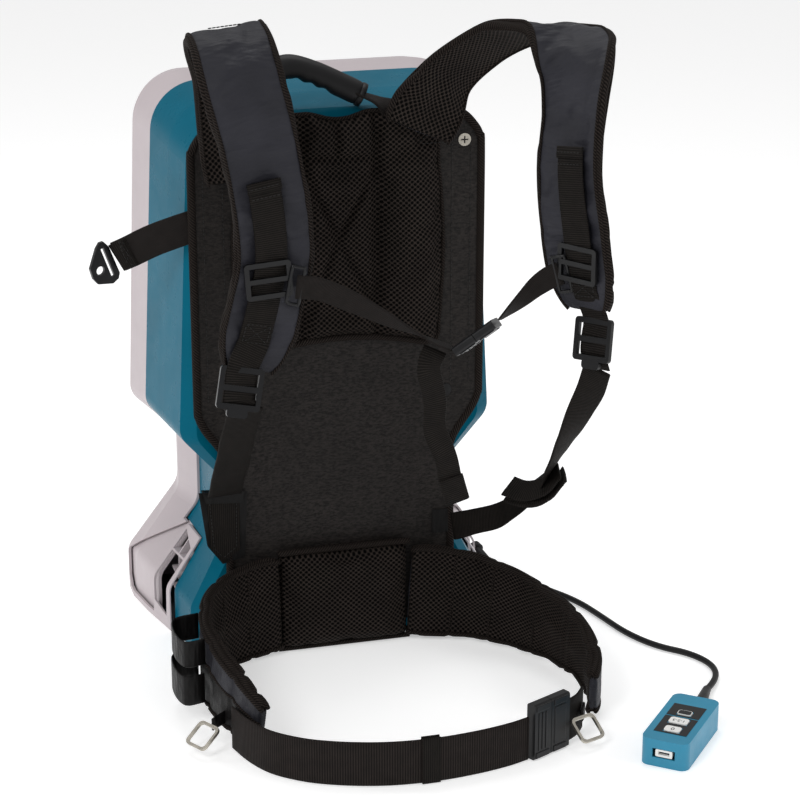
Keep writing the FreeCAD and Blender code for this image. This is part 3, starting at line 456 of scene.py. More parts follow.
def sewn_box(centre, across, down, width, height, cross=True):
    """Lines of a sewn box with a cross in it."""
    centre, across, down = Vector(centre), Vector(across).normalized(), Vector(down).normalized()
    corners = [centre + across * (a * width / 2 * MM) + down * (b * height / 2 * MM)
               for a, b in ((-1, -1), (1, -1), (1, 1), (-1, 1))]
    lines = [[corners[i], corners[(i + 1) % 4]] for i in range(4)]
    if cross:
        lines += [[corners[0], corners[2]], [corners[1], corners[3]]]
    return lines


# ---- cloth ----
puffed = []


def inflate(obj, held, cap):
    """Marks a piece for the shared cloth run: held gives each vertex's hold, cap the most that it may move."""
    group = obj.vertex_groups.new(name="held")
    for index, weight in enumerate(held):
        if weight > 0:
            group.add([index], float(weight), "REPLACE")
    puffed.append((obj, cap * MM))


def run_cloth(frames=18, pressure=4.0):
    """Blows every marked piece up a little between its seams, then fixes the result in its mesh."""
    if not puffed:
        return
    scene = bpy.context.scene
    for obj, _ in puffed:
        cloth = modify(obj, "CLOTH")
        cloth.settings.quality = 4
        cloth.settings.use_pressure = True
        cloth.settings.uniform_pressure_force = pressure
        cloth.settings.effector_weights.gravity = 0
        cloth.settings.vertex_group_mass = "held"
        cloth.settings.shrink_min = -0.035
        cloth.settings.tension_stiffness = 20
        cloth.settings.bending_stiffness = 0.2
        cloth.point_cache.frame_end = frames
    for step in range(1, frames + 1):
        scene.frame_set(step)
    graph = bpy.context.evaluated_depsgraph_get()
    results = []
    for obj, cap in puffed:
        rest = np.array([v.co for v in obj.data.vertices])
        blown = np.array([v.co for v in obj.evaluated_get(graph).data.vertices])
        move = blown - rest
        size = np.linalg.norm(move, axis=1)[:, None]
        results.append(rest + move * np.minimum(1, cap / np.maximum(size, 1e-9)))
    for (obj, _), co in zip(puffed, results):
        obj.modifiers.clear()
        obj.data.vertices.foreach_set("co", co.astype(np.float32).ravel())
        obj.data.update()
    scene.frame_set(1)


# ---- remote cord ----
# The route's points run from the outlet in the base's right side to the remote's strain relief.
CORD_R = 3.5
CORD_Z = CORD_R + 0.1
CORD_ROUTE = [(221, 36, 12), (229, 10, 6), (246, -14, CORD_Z), (269, -50, CORD_Z), (292, -92, CORD_Z),
              (304, -140, CORD_Z), (315, -191, CORD_Z), (336, -234, CORD_Z), (366, -262, CORD_Z),
              (379, -298, CORD_Z), (367, -334, 4.5), (345, -358, 7)]
curve = bpy.data.curves.new("remote_lead", "CURVE")
curve.dimensions = "3D"
curve.bevel_depth = CORD_R * MM
curve.bevel_resolution = 4
curve.resolution_u = 12
curve.use_fill_caps = True
line = curve.splines.new("NURBS")
line.points.add(len(CORD_ROUTE) - 1)
for point, place in zip(line.points, CORD_ROUTE):
    point.co = (*at(*place), 1.0)
line.order_u = 3
line.use_endpoint_u = True
curve.materials.append(RUBBER)
cord = bpy.data.objects.new("remote_lead", curve)
bpy.context.collection.objects.link(cord)
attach(cord, SEAT)
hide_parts("remote_cord")


def lathe(name, start, end, profile, material, body=SEAT, count=28):
    """Turned piece: profile is (share of the way from start to end, radius in millimetres)."""
    start, end = Vector(start), Vector(end)
    axis = end - start
    side = axis.orthogonal().normalized()
    up = axis.normalized().cross(side)
    points, faces = [], []
    for share, radius in profile:
        for k in range(count):
            angle = 2 * math.pi * k / count
            points.append(start + axis * share + (side * math.cos(angle) + up * math.sin(angle)) * radius * MM)
    for ring in range(len(profile) - 1):
        for k in range(count):
            n = (k + 1) % count
            faces.append((ring * count + k, ring * count + n, (ring + 1) * count + n, (ring + 1) * count + k))
    faces.append(tuple(reversed(range(count))))
    faces.append(tuple((len(profile) - 1) * count + k for k in range(count)))
    return piece(name, points, faces, material, body)


# ---- the hard shells: CAD nodes with their finishes ----
FINISHES = {
    TEAL: ["front_housing"],
    GREY: ["rear_cover", "dust_lid", "motor_can", "bulkhead"],
    DARK_GREY: ["base_pan", "battery_terminals", "impeller"],
    BLACK: ["hose_collar", "hose_socket", "lid_latch", "battery_left", "battery_right", "waist_buckle_socket",
            "waist_buckle_plug", "chest_buckle_socket", "chest_buckle_plug", "ladder_lock_left",
            "ladder_lock_right", "chest_slider_left", "chest_slider_right", "hose_strap_ring"],
    RED: ["battery_button_left", "battery_button_right"],
    WHITE: ["remote_button_stop", "remote_button_speed", "remote_button_battery", "remote_clip"],
    REMOTE_TEAL: ["remote_case_upper", "remote_case_lower"],
    STEEL: ["housing_screws", "plate_screws", "lid_hinge_pin", "motor_shaft", "motor_bearings",
            "belt_ring_left", "belt_ring_right"],
    PAPER: ["exhaust_filter"],
    BAG_CLOTH: ["dust_bag"],
    BLACK_CLOTH: ["harness_plate"],
    RUBBER: ["cord_gland", "cord_relief", "carry_grip"],
}
for material, names in FINISHES.items():
    for name in names:
        nodes[name].data.materials.clear()
        nodes[name].data.materials.append(material)
ROUNDED = {"waist_buckle_socket": 1.2, "waist_buckle_plug": 1.2, "chest_buckle_socket": 1.0,
           "chest_buckle_plug": 1.0, "ladder_lock_left": 1.3, "ladder_lock_right": 1.3,
           "chest_slider_left": 1.2, "chest_slider_right": 1.2, "hose_strap_ring": 1.0, "lid_latch": 1.0,
           "dust_lid": 1.2, "remote_case_upper": 1.6, "remote_case_lower": 1.6, "remote_button_stop": 0.6,
           "remote_button_speed": 0.6, "remote_button_battery": 0.6, "belt_ring_left": 1.2,
           "belt_ring_right": 1.2, "battery_button_left": 0.8, "battery_button_right": 0.8}
for name, width in ROUNDED.items():
    modify(nodes[name], "BEVEL", width=width * MM, segments=3, limit_method="ANGLE",
           angle_limit=math.radians(40), harden_normals=True)

# ---- harness plate: bound edge, side strips and grained lower panel ----


def plate_edge(inset, low, high):
    """Right edge of the plate from a height to another, moved in by an inset."""
    rows = [(130, 20), (126.5, 205), (128, 228), (136, 245), (152, 268), (159, 284), (160, 300), (160, 420),
            (160, 560), (158, 578), (150, 591), (140, 601), (130, 604), (112, 604), (72, 604)]
    return [(x - inset, z) for x, z in rows if low <= z <= high]


def plate_binding():
    """Tape over the plate's whole edge, down the scoop in its top."""
    right = [(129, 12)] + plate_edge(1, 20, 604)
    scoop = [(60, 600), (52, 606.5), (42, 594.3), (24, 582.8), (0, 578), (-24, 582.8), (-42, 594.3), (-52, 606.5)]
    scoop = [(x, min(z, 602)) for x, z in scoop]
    line = right + scoop + [(-x, z) for x, z in reversed(right)]
    return [(x, PLATE_FRONT - 0.5, z) for x, z in line]


rod("plate_binding", plate_binding(), 4.6, PIPING, pitch=5, flat=0.85)


def slab(name, outline, near, far, material, body=SEAT, round_off=0.8, lift=0.0):
    """Flat piece with a rounded rim: an (x, z) outline between two distances ahead of the plate."""
    count = len(outline)
    points = [ahead(x, near, z) for x, z in outline] + [ahead(x, far + lift, z) for x, z in outline]
    faces = [tuple(range(count)), tuple(reversed(range(count, 2 * count)))]
    faces += [(k, (k + 1) % count + 0, (k + 1) % count + count, k + count) for k in range(count)]
    faces = [tuple(reversed(f)) for f in faces]
    uvs = [(points[i].x, points[i].z) for f in faces for i in f]
    made = piece(name, points, faces, material, body, uvs)
    modify(made, "BEVEL", width=round_off * MM, segments=3, limit_method="ANGLE", angle_limit=math.radians(30),
           harden_normals=True)
    return made


cover = [(x, z) for x, z in plate_edge(4, 10, 603)] + [(x, z) for x, z in
         [(60, 603), (46, 606), (30, 602), (0, 601), (-30, 602), (-46, 606), (-60, 603)]]
slab("plate_cover", cover + [(-x, z) for x, z in reversed(plate_edge(4, 10, 603))], 0.1, 1.3, LEATHER,
     round_off=0.5)
strip_lines = []
for side in (-1, 1):
    for x in (126, 147):
        rows = [(side * x, z) for z in range(300, 584, 14)]
        strip_lines.append([ahead(a, 1.6, b) for a, b in rows])
stitches("plate_stitching", strip_lines, length=3.2, gap=1.2)
for side in (-1, 1):
    lathe(f"screw_cap_{side + 1}", ahead(side * 120, 0.6, 291), ahead(side * 120, 2.7, 291),
          [(0, 7.6), (0.7, 7.6), (1, 6.2)], RUBBER)


# ---- padded back panel ----
def quilt(name, columns, rows, place, depth, material, body=SEAT, base=0.4):
    """Padded panel on the plate: a grid of (s, t) in -1..1 and 0..1 with its rim brought down to the plate."""
    points, uvs_at, hold = [], [], []
    for j in range(rows + 1):
        for i in range(columns + 1):
            s, t = 2 * i / columns - 1, j / rows
            x, z = place(s, t)
            deep, held = depth(x, z, s, t)
            points.append(ahead(x, deep, z))
            uvs_at.append((x * MM, z * MM))
            hold.append(held)
    wide = columns + 1
    faces = [(j * wide + i, j * wide + i + 1, (j + 1) * wide + i + 1, (j + 1) * wide + i)
             for j in range(rows) for i in range(columns)]
    rim = ([i for i in range(wide)] + [j * wide + columns for j in range(1, rows + 1)]
           + [rows * wide + i for i in reversed(range(columns))] + [j * wide for j in reversed(range(1, rows))])
    start = len(points)
    for index in rim:
        p = points[index]
        points.append(Vector((p.x, PLATE_FRONT * MM - base * MM, p.z)))
        uvs_at.append((uvs_at[index][0], uvs_at[index][1] + 0.01))
        hold.append(1.0)
        hold[index] = 1.0
    for k, index in enumerate(rim):
        n = (k + 1) % len(rim)
        faces.append((rim[n], index, start + k, start + n))
    uvs = [uvs_at[i] for f in faces for i in f]
    return piece(name, points, faces, material, body, uvs), hold, rim


def near_line(x, z, a, b):
    """Distance from (x, z) to the line from a to b, in millimetres."""
    p, start, end = Vector((x, z)), Vector(a), Vector(b)
    run = end - start
    share = max(0.0, min(1.0, (p - start).dot(run) / run.length_squared))
    return (p - start - run * share).length


def groove(distance, width):
    return math.exp(-(distance / width) ** 2)


CHANNEL = 40.0               # the two deep channels between the panel's three columns
JOIN = (-4, 475)
SEAMS = [((-CHANNEL, 566), (CHANNEL, 562)), (JOIN, (-CHANNEL, 556)), (JOIN, (CHANNEL, 552)),
         (JOIN, (-CHANNEL, 378)), (JOIN, (CHANNEL, 392)), ((-4, 604), (-4, 566))]
PATCHES = [(-100, 588), (100, 588)]


def pad_place(s, t):
    x = s * (112 + 6 * math.sin(math.pi * min(1.0, t * 1.3)) - 2)
    bottom = 364 - 9 * (x / 80) ** 2
    corner = max(0.0, abs(x) - 90) / 27
    bottom += 26 * (1 - math.sqrt(max(0.0, 1 - corner * corner)))
    top = 611 if abs(x) > 32 else 664 - math.sqrt(60 ** 2 - x ** 2)
    return x, bottom + t * (top - bottom)


def pad_depth(x, z, s, t):
    rim = min((1 - abs(s)) * 114, t * 240, (1 - t) * 240)
    share = min(1.0, rim / 13)
    fall = math.sqrt(max(0.0, 1 - (1 - share) ** 2))
    seam = groove(abs(x) - CHANNEL, 5.5)
    quilted = max(groove(near_line(x, z, a, b), 3.6) for a, b in SEAMS)
    patch = max(1.0 if abs(x - px) < 18 and abs(z - pz) < 17 else 0.0 for px, pz in PATCHES)
    column = math.cos(min(1.0, abs(abs(x) - 78) / 48) * 1.1) if abs(x) > CHANNEL else 0.86
    puff = 16.5 * column * (1 - 0.82 * seam) * (1 - 0.5 * quilted) * (1 - 0.3 * patch)
    held = 1.0 if (share < 0.12 or seam > 0.5 or quilted > 0.6 or patch) else 0.0
    return 1.5 + fall * puff, held


back_panel, hold, _ = quilt("back_panel", 64, 66, pad_place, pad_depth, MESH)
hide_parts("back_pad")
inflate(back_panel, hold, 3.5)
panel_edge = [pad_place(s, 0) for s in np.linspace(-1, 1, 17)] + [pad_place(1, t) for t in np.linspace(0.06, 1, 14)]
panel_edge += [pad_place(s, 1) for s in np.linspace(0.9, -0.9, 19)] + [pad_place(-1, t) for t in np.linspace(1, 0.06, 14)]
rod("back_panel_binding", [ahead(x, 3.4, z) / MM for x, z in panel_edge], 2.4, PIPING, pitch=4, looped=True)
arc = [pad_place(s, 0) for s in np.linspace(-1, 1, 17)]
rod("back_panel_arc", [ahead(x, 4.2, z - 1.5) / MM for x, z in arc], 4.0, PIPING, pitch=4, flat=0.8, start=(0, 0, 1))
patch_lines = []
for x, z in PATCHES:
    patch_lines += sewn_box(ahead(x, 12.6, z), (1, 0, 0), (0, 0, -1), 30, 28)
stitches("panel_patches", patch_lines)

# ---- lumbar pad ----
LUMBAR_HALF, LUMBAR_TOP = 73.0, 121.0


def lumbar_place(s, t):
    return s * LUMBAR_HALF, 2 + t * (LUMBAR_TOP - 3 - 2 * s * s)


def lumbar_depth(x, z, s, t):
    share = min(1.0, t * 119 / 12, (1 - t) * 119 / 12)
    fall = math.sqrt(max(0.0, 1 - (1 - share) ** 2))
    sides = groove((1 - abs(s)) * LUMBAR_HALF, 6)
    held = 1.0 if share < 0.12 or sides > 0.6 else 0.0
    return 4 + fall * (15.5 + 2.5 * math.cos(s * 1.4)) * (1 - 0.45 * sides), held


lumbar, hold, _ = quilt("lumbar_panel", 34, 28, lumbar_place, lumbar_depth, MESH)
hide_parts("lumbar_pad")
inflate(lumbar, hold, 4.0)
rod("lumbar_binding", [(x, PLATE_FRONT - 13, 119.5) for x in np.linspace(-76, 76, 9)], 3.6, PIPING, pitch=4)
rod("lumbar_foot_binding", [(x, PLATE_FRONT - 12, 3.6) for x in np.linspace(-76, 76, 9)], 3.0, PIPING, pitch=4)


# ---- padded strips: shoulder straps and belt wings ----
def pad_section(width, thick, faces=13, crown=0.12):
    """Section of a padded strip: a crowned outer face, a mesh band down each side and the inner face."""
    face, half = width * 0.465, width / 2
    outer = [(face * (1 - 2 * k / faces), thick / 2 * (1 + crown * (1 - (2 * k / faces - 1) ** 2)))
             for k in range(faces + 1)]
    inner = [(-a * 1.02, -b) for a, b in outer]
    left = [(-half - thick * 0.14, thick * 0.1), (-half - thick * 0.1, -thick * 0.3)]
    right = [(half + thick * 0.1, -thick * 0.3), (half + thick * 0.14, thick * 0.1)]
    return outer + left + inner + right


def padded_strip(name, filled, widths, thick, outer, inner, node, cap=4.5, faces=13, end_round=0.35, split=None,
                 seams=()):
    """Padded strip along places with across directions; its outer face has one cloth, the rest another.

    seams holds the shares of its length where a line of sewing draws it in.
    """
    count = len(filled)
    drawn = {round(share * (count - 1)) for share in seams}
    places, sides = filled[:, :3] * MM, filled[:, 3:6]

    def section(i):
        edge = min(i, count - 1 - i)
        soft = 1 - end_round * math.exp(-edge / 1.1) - (0.42 if i in drawn else 0)
        return np.array(pad_section(widths[i] * (1 - 0.06 * math.exp(-edge / 1.5)), thick * soft)) * MM

    size = len(pad_section(10, 10, faces))

    def pick(j):
        if j >= faces:
            return 1 if faces + 3 <= j < 2 * faces + 3 else 2
        return 0 if split is None or j < split else 3

    extra = [inner, PIPING] if split is None else [inner, PIPING, BLACK_CLOTH]
    made = sweep(name, places, sides, section, outer, extra=extra, pick=pick)
    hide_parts(node)
    hold = np.zeros(len(made.data.vertices))
    for i in range(count):
        hold[i * size] = hold[i * size + faces] = 1.0
        if i in (0, 1, count - 2, count - 1) or i in drawn:
            hold[i * size:(i + 1) * size] = 1.0
        if split is not None:
            hold[i * size + split] = 1.0
    inflate(made, hold, cap)
    return made, size, count


def edge_line(obj, size, count, index, out=0.0):
    """Places along one edge of a padded strip, in metres."""
    return np.array([obj.data.vertices[i * size + index].co for i in range(count)])


def bound(name, obj, size, count, index, radius, body=SEAT, material=None):
    """Tape bound over one edge of a padded strip."""
    places = edge_line(obj, size, count, index)
    return sweep(name, places, carried(places, (0.2, 0.1, 1)), circle(radius * MM, 8), material or PIPING, body)


PAD_W, PAD_T = 81.0, 13.0
LEFT_PAD = [(-112, 25.5, 548), (-115, 27, 604), (-124, 44, 668), (-138, 80, 712),
            (-139, 118, 710), (-134, 144, 672), (-121, 151, 614), (-112, 152, 556),
            (-108, 149, 500), (-116, 143, 452), (-125, 138, 412), (-133, 134, 378)]
LEFT_ACROSS = [(1, 0, 0), (1, 0, 0.05), (1, 0.1, 0.1), (1, 0.15, 0.1),
               (1, 0.1, 0.1), (1, 0.1, 0.2), (1, 0.1, 0.2), (1, 0.1, 0.15),
               (1, 0.1, 0.05), (1, 0.1, -0.15), (1, 0.1, -0.25), (1, 0.1, -0.35)]
RIGHT_PAD = [(80, 25.5, 590), (92, 27, 616), (110, 33, 647), (135, 48, 673),
             (163, 72, 695), (188, 110, 709), (200, 150, 709), (198, 188, 688),
             (188, 214, 648), (180, 228, 590), (184, 235, 530), (192, 238, 478),
             (199, 238, 446)]
RIGHT_ACROSS = [(1, 0, 0.05), (0.95, 0.1, -0.2), (0.65, 0.5, -0.5), (0.52, 0.62, -0.5),
                (0.62, 0.6, -0.4), (0.8, 0.35, -0.15), (0.85, -0.3, -0.1), (0.5, -0.8, -0.1),
                (0.4, -0.92, 0), (0.45, -0.89, 0), (0.53, -0.84, 0), (0.5, -0.85, 0.1),
                (0.45, -0.88, 0.12)]


def shoulder_rows(route, across, pitch):
    rows = [(x, PLATE_FRONT - d, z, *Vector(a).normalized()) for (x, d, z), a in zip(route, across)]
    return flow(rows, pitch)


def on_pad(filled, start, end, offset, lift):
    """Rows for something sewn to a strap's outer face, from one share of its length to another."""
    along = directions(filled[:, :3])
    sides = filled[:, 3:6] - along * (filled[:, 3:6] * along).sum(1)[:, None]
    sides /= np.linalg.norm(sides, axis=1)[:, None]
    outs = np.cross(along, sides)
    count = len(filled)
    picked = range(int(start * count), max(int(start * count) + 2, int(end * count)))
    return [(tuple(filled[i, :3] + sides[i] * offset + outs[i] * lift), tuple(sides[i])) for i in picked]


shoulders = {}
for side, route, across in (("left", LEFT_PAD, LEFT_ACROSS), ("right", RIGHT_PAD, RIGHT_ACROSS)):
    filled = shoulder_rows(route, across, 5.5)
    filled[:, 0] += 3.0 if side == "left" else 0.0
    count = len(filled)
    widths = [PAD_W * (1 - 0.38 * max(0.0, (i - count + 9) / 9) ** 1.5) for i in range(count)]
    made, size, count = padded_strip("shoulder_strap_" + side, filled, widths, PAD_T - 1.5, PACK_CLOTH, MESH,
                                     "shoulder_pad_" + side)
    shoulders[side] = (made, size, count, filled)

# ---- belt wings ----
LEFT_WING = [(-74.5, 14), (-110, 24), (-146, 50), (-170, 90), (-180, 135), (-176, 185), (-162, 232), (-150, 262)]
LEFT_WING_LOW = [2, 2, 3, 8, 12, 12, 10, 8]
LEFT_WING_HIGH = [120, 118, 115, 112, 104, 92, 78, 66]
RIGHT_WING = [(74.5, 14), (118, 26), (158, 50), (192, 92), (214, 140), (222, 186), (218, 232), (204, 268)]
RIGHT_WING_LOW = [2, 2, 2, 3, 5, 6, 6, 6]
RIGHT_WING_HIGH = [118, 112, 104, 94, 84, 74, 64, 58]
WING_SEAMS = (0.14, 0.3, 0.48, 0.66, 0.83)
wings = {}
for side, plan, low, high in (("left", LEFT_WING, LEFT_WING_LOW, LEFT_WING_HIGH),
                              ("right", RIGHT_WING, RIGHT_WING_LOW, RIGHT_WING_HIGH)):
    # the across direction points so that the outer face looks away from the wearer
    up = 1 if side == "left" else -1
    rows = [(x, PLATE_FRONT - d, (a + b) / 2, 0, 0, up, b - a) for (x, d), a, b in zip(plan, low, high)]
    filled = flow(rows, 5.5)
    made, size, count = padded_strip("belt_wing_" + side + "_pad", filled, filled[:, 6] - 4, 11.5, PACK_CLOTH, MESH,
                                     "belt_wing_" + side, cap=4.0, split=5 if side == "left" else None,
                                     seams=WING_SEAMS)
    wings[side] = (made, size, count, filled)

run_cloth()

FACES = 13
for side, (made, size, count, filled) in shoulders.items():
    for label, index in (("a", 0), ("b", FACES)):
        bound(f"shoulder_binding_{side}_{label}", made, size, count, index, 1.9)
    for label, index in (("c", FACES + 3), ("d", 2 * FACES + 3)):
        bound(f"shoulder_binding_{side}_{label}", made, size, count, index, 1.3)
    modify(made, "SUBSURF", levels=1, render_levels=1)
for side, (made, size, count, filled) in wings.items():
    for label, index in (("a", 0), ("b", FACES), ("c", FACES + 3), ("d", 2 * FACES + 3)):
        bound(f"wing_binding_{side}_{label}", made, size, count, index, 2.6)
    if side == "left":
        bound("wing_binding_left_seam", made, size, count, 5, 2.0)
    for k, share in enumerate(WING_SEAMS):
        i = round(share * (count - 1))
        line = [made.data.vertices[i * size + FACES + 3 + j].co for j in range(FACES + 1)]
        sweep(f"wing_seam_{side}_{k}", np.array(line), carried(np.array(line), (1, 0.2, 0)),
              circle(0.0014, 6), PIPING)
    modify(made, "SUBSURF", levels=1, render_levels=1)
for made in (back_panel, lumbar):
    modify(made, "SUBSURF", levels=1, render_levels=1)

# ---- sewn webbing, sliders and ladder locks on the shoulder straps ----
# where the webbing threads through each ladder lock, down to its hanging part
slit = on_pad(shoulders["left"][3], 0.355, 0.37, 4.0, 8.6)
stitches("strap_slit", [[(Vector(slit[0][0]) + Vector(slit[0][1]) * k) * MM for k in (-22, 12)]], length=4.0, gap=0.2,
         radius=0.7)
LOCK_ENDS = {"left": [(-139, 153, 388), (-143, 156, 367), (-145, 158, 352), (-139, 149, 340)],
             "right": [(203, 249, 440), (201, 251, 420), (200, 253, 404), (205, 251, 388)]}
for side, start, end, offset in (("left", 0.63, 0.95, -5.0), ("right", 0.68, 0.95, 8.0)):
    filled = shoulders[side][3]
    rows = on_pad(filled, start, end, offset, 9.2)
    rows += [(tuple(ahead(*p) / MM), rows[-1][1]) for p in LOCK_ENDS[side]]
    strap("sewn_webbing_" + side, [r for r, _ in rows], [a for _, a in rows], 34)
    fold = on_pad(filled, start, start + 0.03, offset, 10.6)
    strap("webbing_fold_" + side, [r for r, _ in fold], [a for _, a in fold], 36, 2.6)
    lines = []
    for share in (start + 0.012, start + 0.03):
        (r, a), _ = on_pad(filled, share, share + 0.02, offset, 12.2)[:2]
        lines.append([(Vector(r) + Vector(a) * k) * MM for k in (-16, 16)])
    box_rows = on_pad(filled, *(0.9, 0.95) if side == "left" else (0.92, 0.96), offset, 10.8)
    (r0, a0), (r1, _) = box_rows[0], box_rows[-1]
    corners = [(Vector(r) + Vector(a0) * k) * MM for r, k in ((r0, -13), (r0, 13), (r1, 13), (r1, -13))]
    lines += [[corners[i], corners[(i + 1) % 4]] for i in range(4)]
    lines += [[corners[0], corners[2]], [corners[1], corners[3]]]
    stitches("fold_stitching_" + side, lines)

WEB_LEFT = [(-137, 147, 342), (-138, 122, 308), (-138, 84, 264), (-136, 40, 220), (-134, 12, 196)]
WEB_RIGHT = [(206, 251, 388), (203, 232, 352), (197, 202, 305), (194, 162, 258),
             (192, 118, 212), (168, 70, 165), (143, 36, 143), (127, 12, 131)]
WEB_RIGHT_ACROSS = [(0.6, -0.75, 0.1), (0.8, -0.5, 0.3), (0.9, -0.2, 0.5), (0.8, 0.1, 0.7),
                    (0.5, 0.4, 0.8), (0.25, 0.5, 0.9), (0.2, 0.4, 0.95), (0.1, 0.2, 1)]
left_web = strap("lower_webbing_left", [ahead(*p) / MM for p in WEB_LEFT], [(1, 0, 0)] * 5, 38, wobble=1.2)
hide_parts("strap_webbing_left")
right_web = strap("lower_webbing_right", [ahead(*p) / MM for p in WEB_RIGHT], WEB_RIGHT_ACROSS, 30, wobble=1.5, seed=3)
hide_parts("strap_webbing_right")
flap = [(-160, 196), (-108, 193), (-112, 118), (-136, 112), (-152, 134)]
made = slab("anchor_flap_left", flap, 1.4, 4.2, BLACK_CLOTH)
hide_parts("webbing_anchors")
slab("anchor_fold_left", [(-157, 199), (-112, 196), (-115, 184), (-154, 187)], 1.4, 9.0, BLACK_CLOTH)
slab("anchor_tab_left", [(-153, 190), (-117, 188), (-118, 128), (-136, 116), (-148, 130)], 4.0, 6.8, WEB)
stitches("anchor_stitching", [[ahead(-150, 7.1, 186), ahead(-146, 7.1, 132), ahead(-136, 7.1, 120),
                               ahead(-121, 7.1, 131), ahead(-120, 7.1, 185), ahead(-150, 7.1, 186)]])
slab("anchor_block_right", [(106, 148), (126, 148), (126, 122), (106, 122)], 1.4, 3.4, BLACK_CLOTH)
for k, (shift, rise) in enumerate(((0, 0), (3, 4), (-2, 8))):
    rows = [(206 + shift, 150, 232 + rise), (192 + shift, 142, 212 + rise), (174 + shift, 126, 204 + rise),
            (160 + shift, 112, 206 + rise)]
    strap(f"webbing_bundle_{k}", [ahead(*p) / MM for p in rows], [(0.35, 0.75, 0.55)] * 4, 28, 2.2, wobble=2.5,
          seed=5.0 + k)

# ---- chest strap ----
CHEST = "chest_strap"
CHEST_LEFT = [(-85, 164, 472), (-60, 167, 468), (-30, 173, 454), (0, 181, 438), (26, 189, 424), (50, 196, 412),
              (68, 199, 404)]
CHEST_LEFT_ACROSS = [(0.3, 0, 0.95), (0.25, -0.1, 0.95), (0.1, -0.3, 0.9), (-0.1, -0.55, 0.8), (-0.3, -0.75, 0.5),
                     (-0.48, -0.85, 0.2), (-0.48, -0.85, 0.2)]
CHEST_RIGHT = [(113, 214, 436), (134, 218, 455), (149, 222, 470), (161, 227, 480), (171, 231, 485)]
CHEST_RIGHT_ACROSS = [(-0.48, -0.85, 0.2), (-0.55, -0.5, 0.6), (-0.5, -0.2, 0.8), (-0.4, 0, 0.9), (-0.2, 0, 0.97)]
TAIL = [(50, 199, 405), (42, 204, 386), (50, 200, 348), (51, 197, 316), (64, 194, 284), (69, 192, 258), (78, 191, 234)]
chest_web = strap("chest_webbing_left", [ahead(*p) / MM for p in CHEST_LEFT], CHEST_LEFT_ACROSS, 25, 1.8,
                  CHEST_WEB, body=None, wobble=1.0)
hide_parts("chest_strap_left")
ahead(*CHEST_LEFT[0])
ahead(*CHEST_LEFT[-1])
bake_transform(chest_web)
strap("chest_tail", [ahead(*p) / MM for p in TAIL], [(0.96, 0, 0.26)] * 7, 25, 1.8, WEB,
      body="chest_plug", wobble=2.0)
strap("chest_tail_hem", [ahead(69, 193, 262) / MM, ahead(77, 192, 234) / MM], [(0.96, 0, 0.26)] * 2, 27, 4.0,
      WEB, body="chest_plug")
made = strap("chest_webbing_right", [ahead(*p) / MM for p in CHEST_RIGHT], CHEST_RIGHT_ACROSS, 25, 1.8,
             CHEST_WEB, body=CHEST)
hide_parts("chest_strap_right")


def loop(name, centre, across, down, width, height, radius, body):
    """Rounded rectangular loop of round bar."""
    centre, across, down = Vector(centre), Vector(across).normalized(), Vector(down).normalized()
    rows = []
    for a, b in ((-1, -0.6), (-0.6, -1), (0.6, -1), (1, -0.6), (1, 0.6), (0.6, 1), (-0.6, 1), (-1, 0.6)):
        a = a if abs(a) == 1 else math.copysign(1 - 3 / width * 1.4, a)
        b = b if abs(b) == 1 else math.copysign(1 - 3 / height * 1.4, b)
        rows.append(centre / MM + across * (a * width / 2) + down * (b * height / 2))
    return rod(name, rows, radius, BLACK, body, pitch=1.5, start=tuple(across.cross(down)), looped=True, count=8)


loop("slider_loop_left", ahead(-86, 164, 473), (0.95, 0, -0.3), (0.2, 0, 0.98), 13, 38, 1.9, CHEST)
loop("slider_loop_right", ahead(172, 232, 484), (0.75, -0.5, 0.2), (-0.25, 0, 0.96), 13, 38, 1.9, CHEST)

# ---- waist belt webbing ----
WEBBING_LEFT = [(-174, 228), (-164, 262), (-148, 292), (-122, 316), (-95, 331), (-62, 343), (-28, 350),
                (13, 352), (55, 348), (88, 341), (111, 333)]
WEBBING_RIGHT = [(160, 308), (176, 296), (188, 280)]
UP = (0, 0, 1)
# the waist weave's light and dark colours are painted highlight and painted shade on its ribs
waist = strap("waist_webbing_main", [ahead(x, d, 25.2) / MM for x, d in WEBBING_LEFT], [UP] * 11, 49, 2.4,
              webbing("waist_weave", "2e2724", "060505", 0.0026), body=None)
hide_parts("waist_webbing_left")
ahead(*WEBBING_LEFT[2], 25)
ahead(*WEBBING_LEFT[-1], 25)
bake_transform(waist)
for side, tab in (("left", [(-178, 206), (-188, 214), (-193, 219)]), ("right", [(188, 286), (184, 296), (180, 302)])):
    strap("ring_tab_" + side, [ahead(x, d, 26.5) / MM for x, d in tab], [UP] * 3, 15, 3.0, BLACK_CLOTH, pitch=3.0)
made = strap("waist_webbing_short", [ahead(x, d, 25.2) / MM for x, d in WEBBING_RIGHT], [UP] * 3, 49, 2.4)
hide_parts("waist_webbing_right")
strap("keeper_band", [ahead(x, 353.6, 25.6) / MM for x in (-7, 2, 12)], [UP] * 3, 51, 2.0, WEB)
strap("keeper_back", [ahead(x, 348.6, 25.6) / MM for x in (-7, 2, 12)], [UP] * 3, 51, 2.0, WEB)

# ---- relief on the two buckles ----
def on_buckle(centre, twist, roll, turn):
    """Turns a buckle's own (along, outward, up) millimetres into a place."""
    turned = (Matrix.Rotation(math.radians(turn), 3, "Z") @ Matrix.Rotation(math.radians(roll), 3, "Y")
              @ Matrix.Rotation(math.radians(twist), 3, "X"))
    return lambda x, y, z: centre + turned @ Vector((x, y, z)) * MM


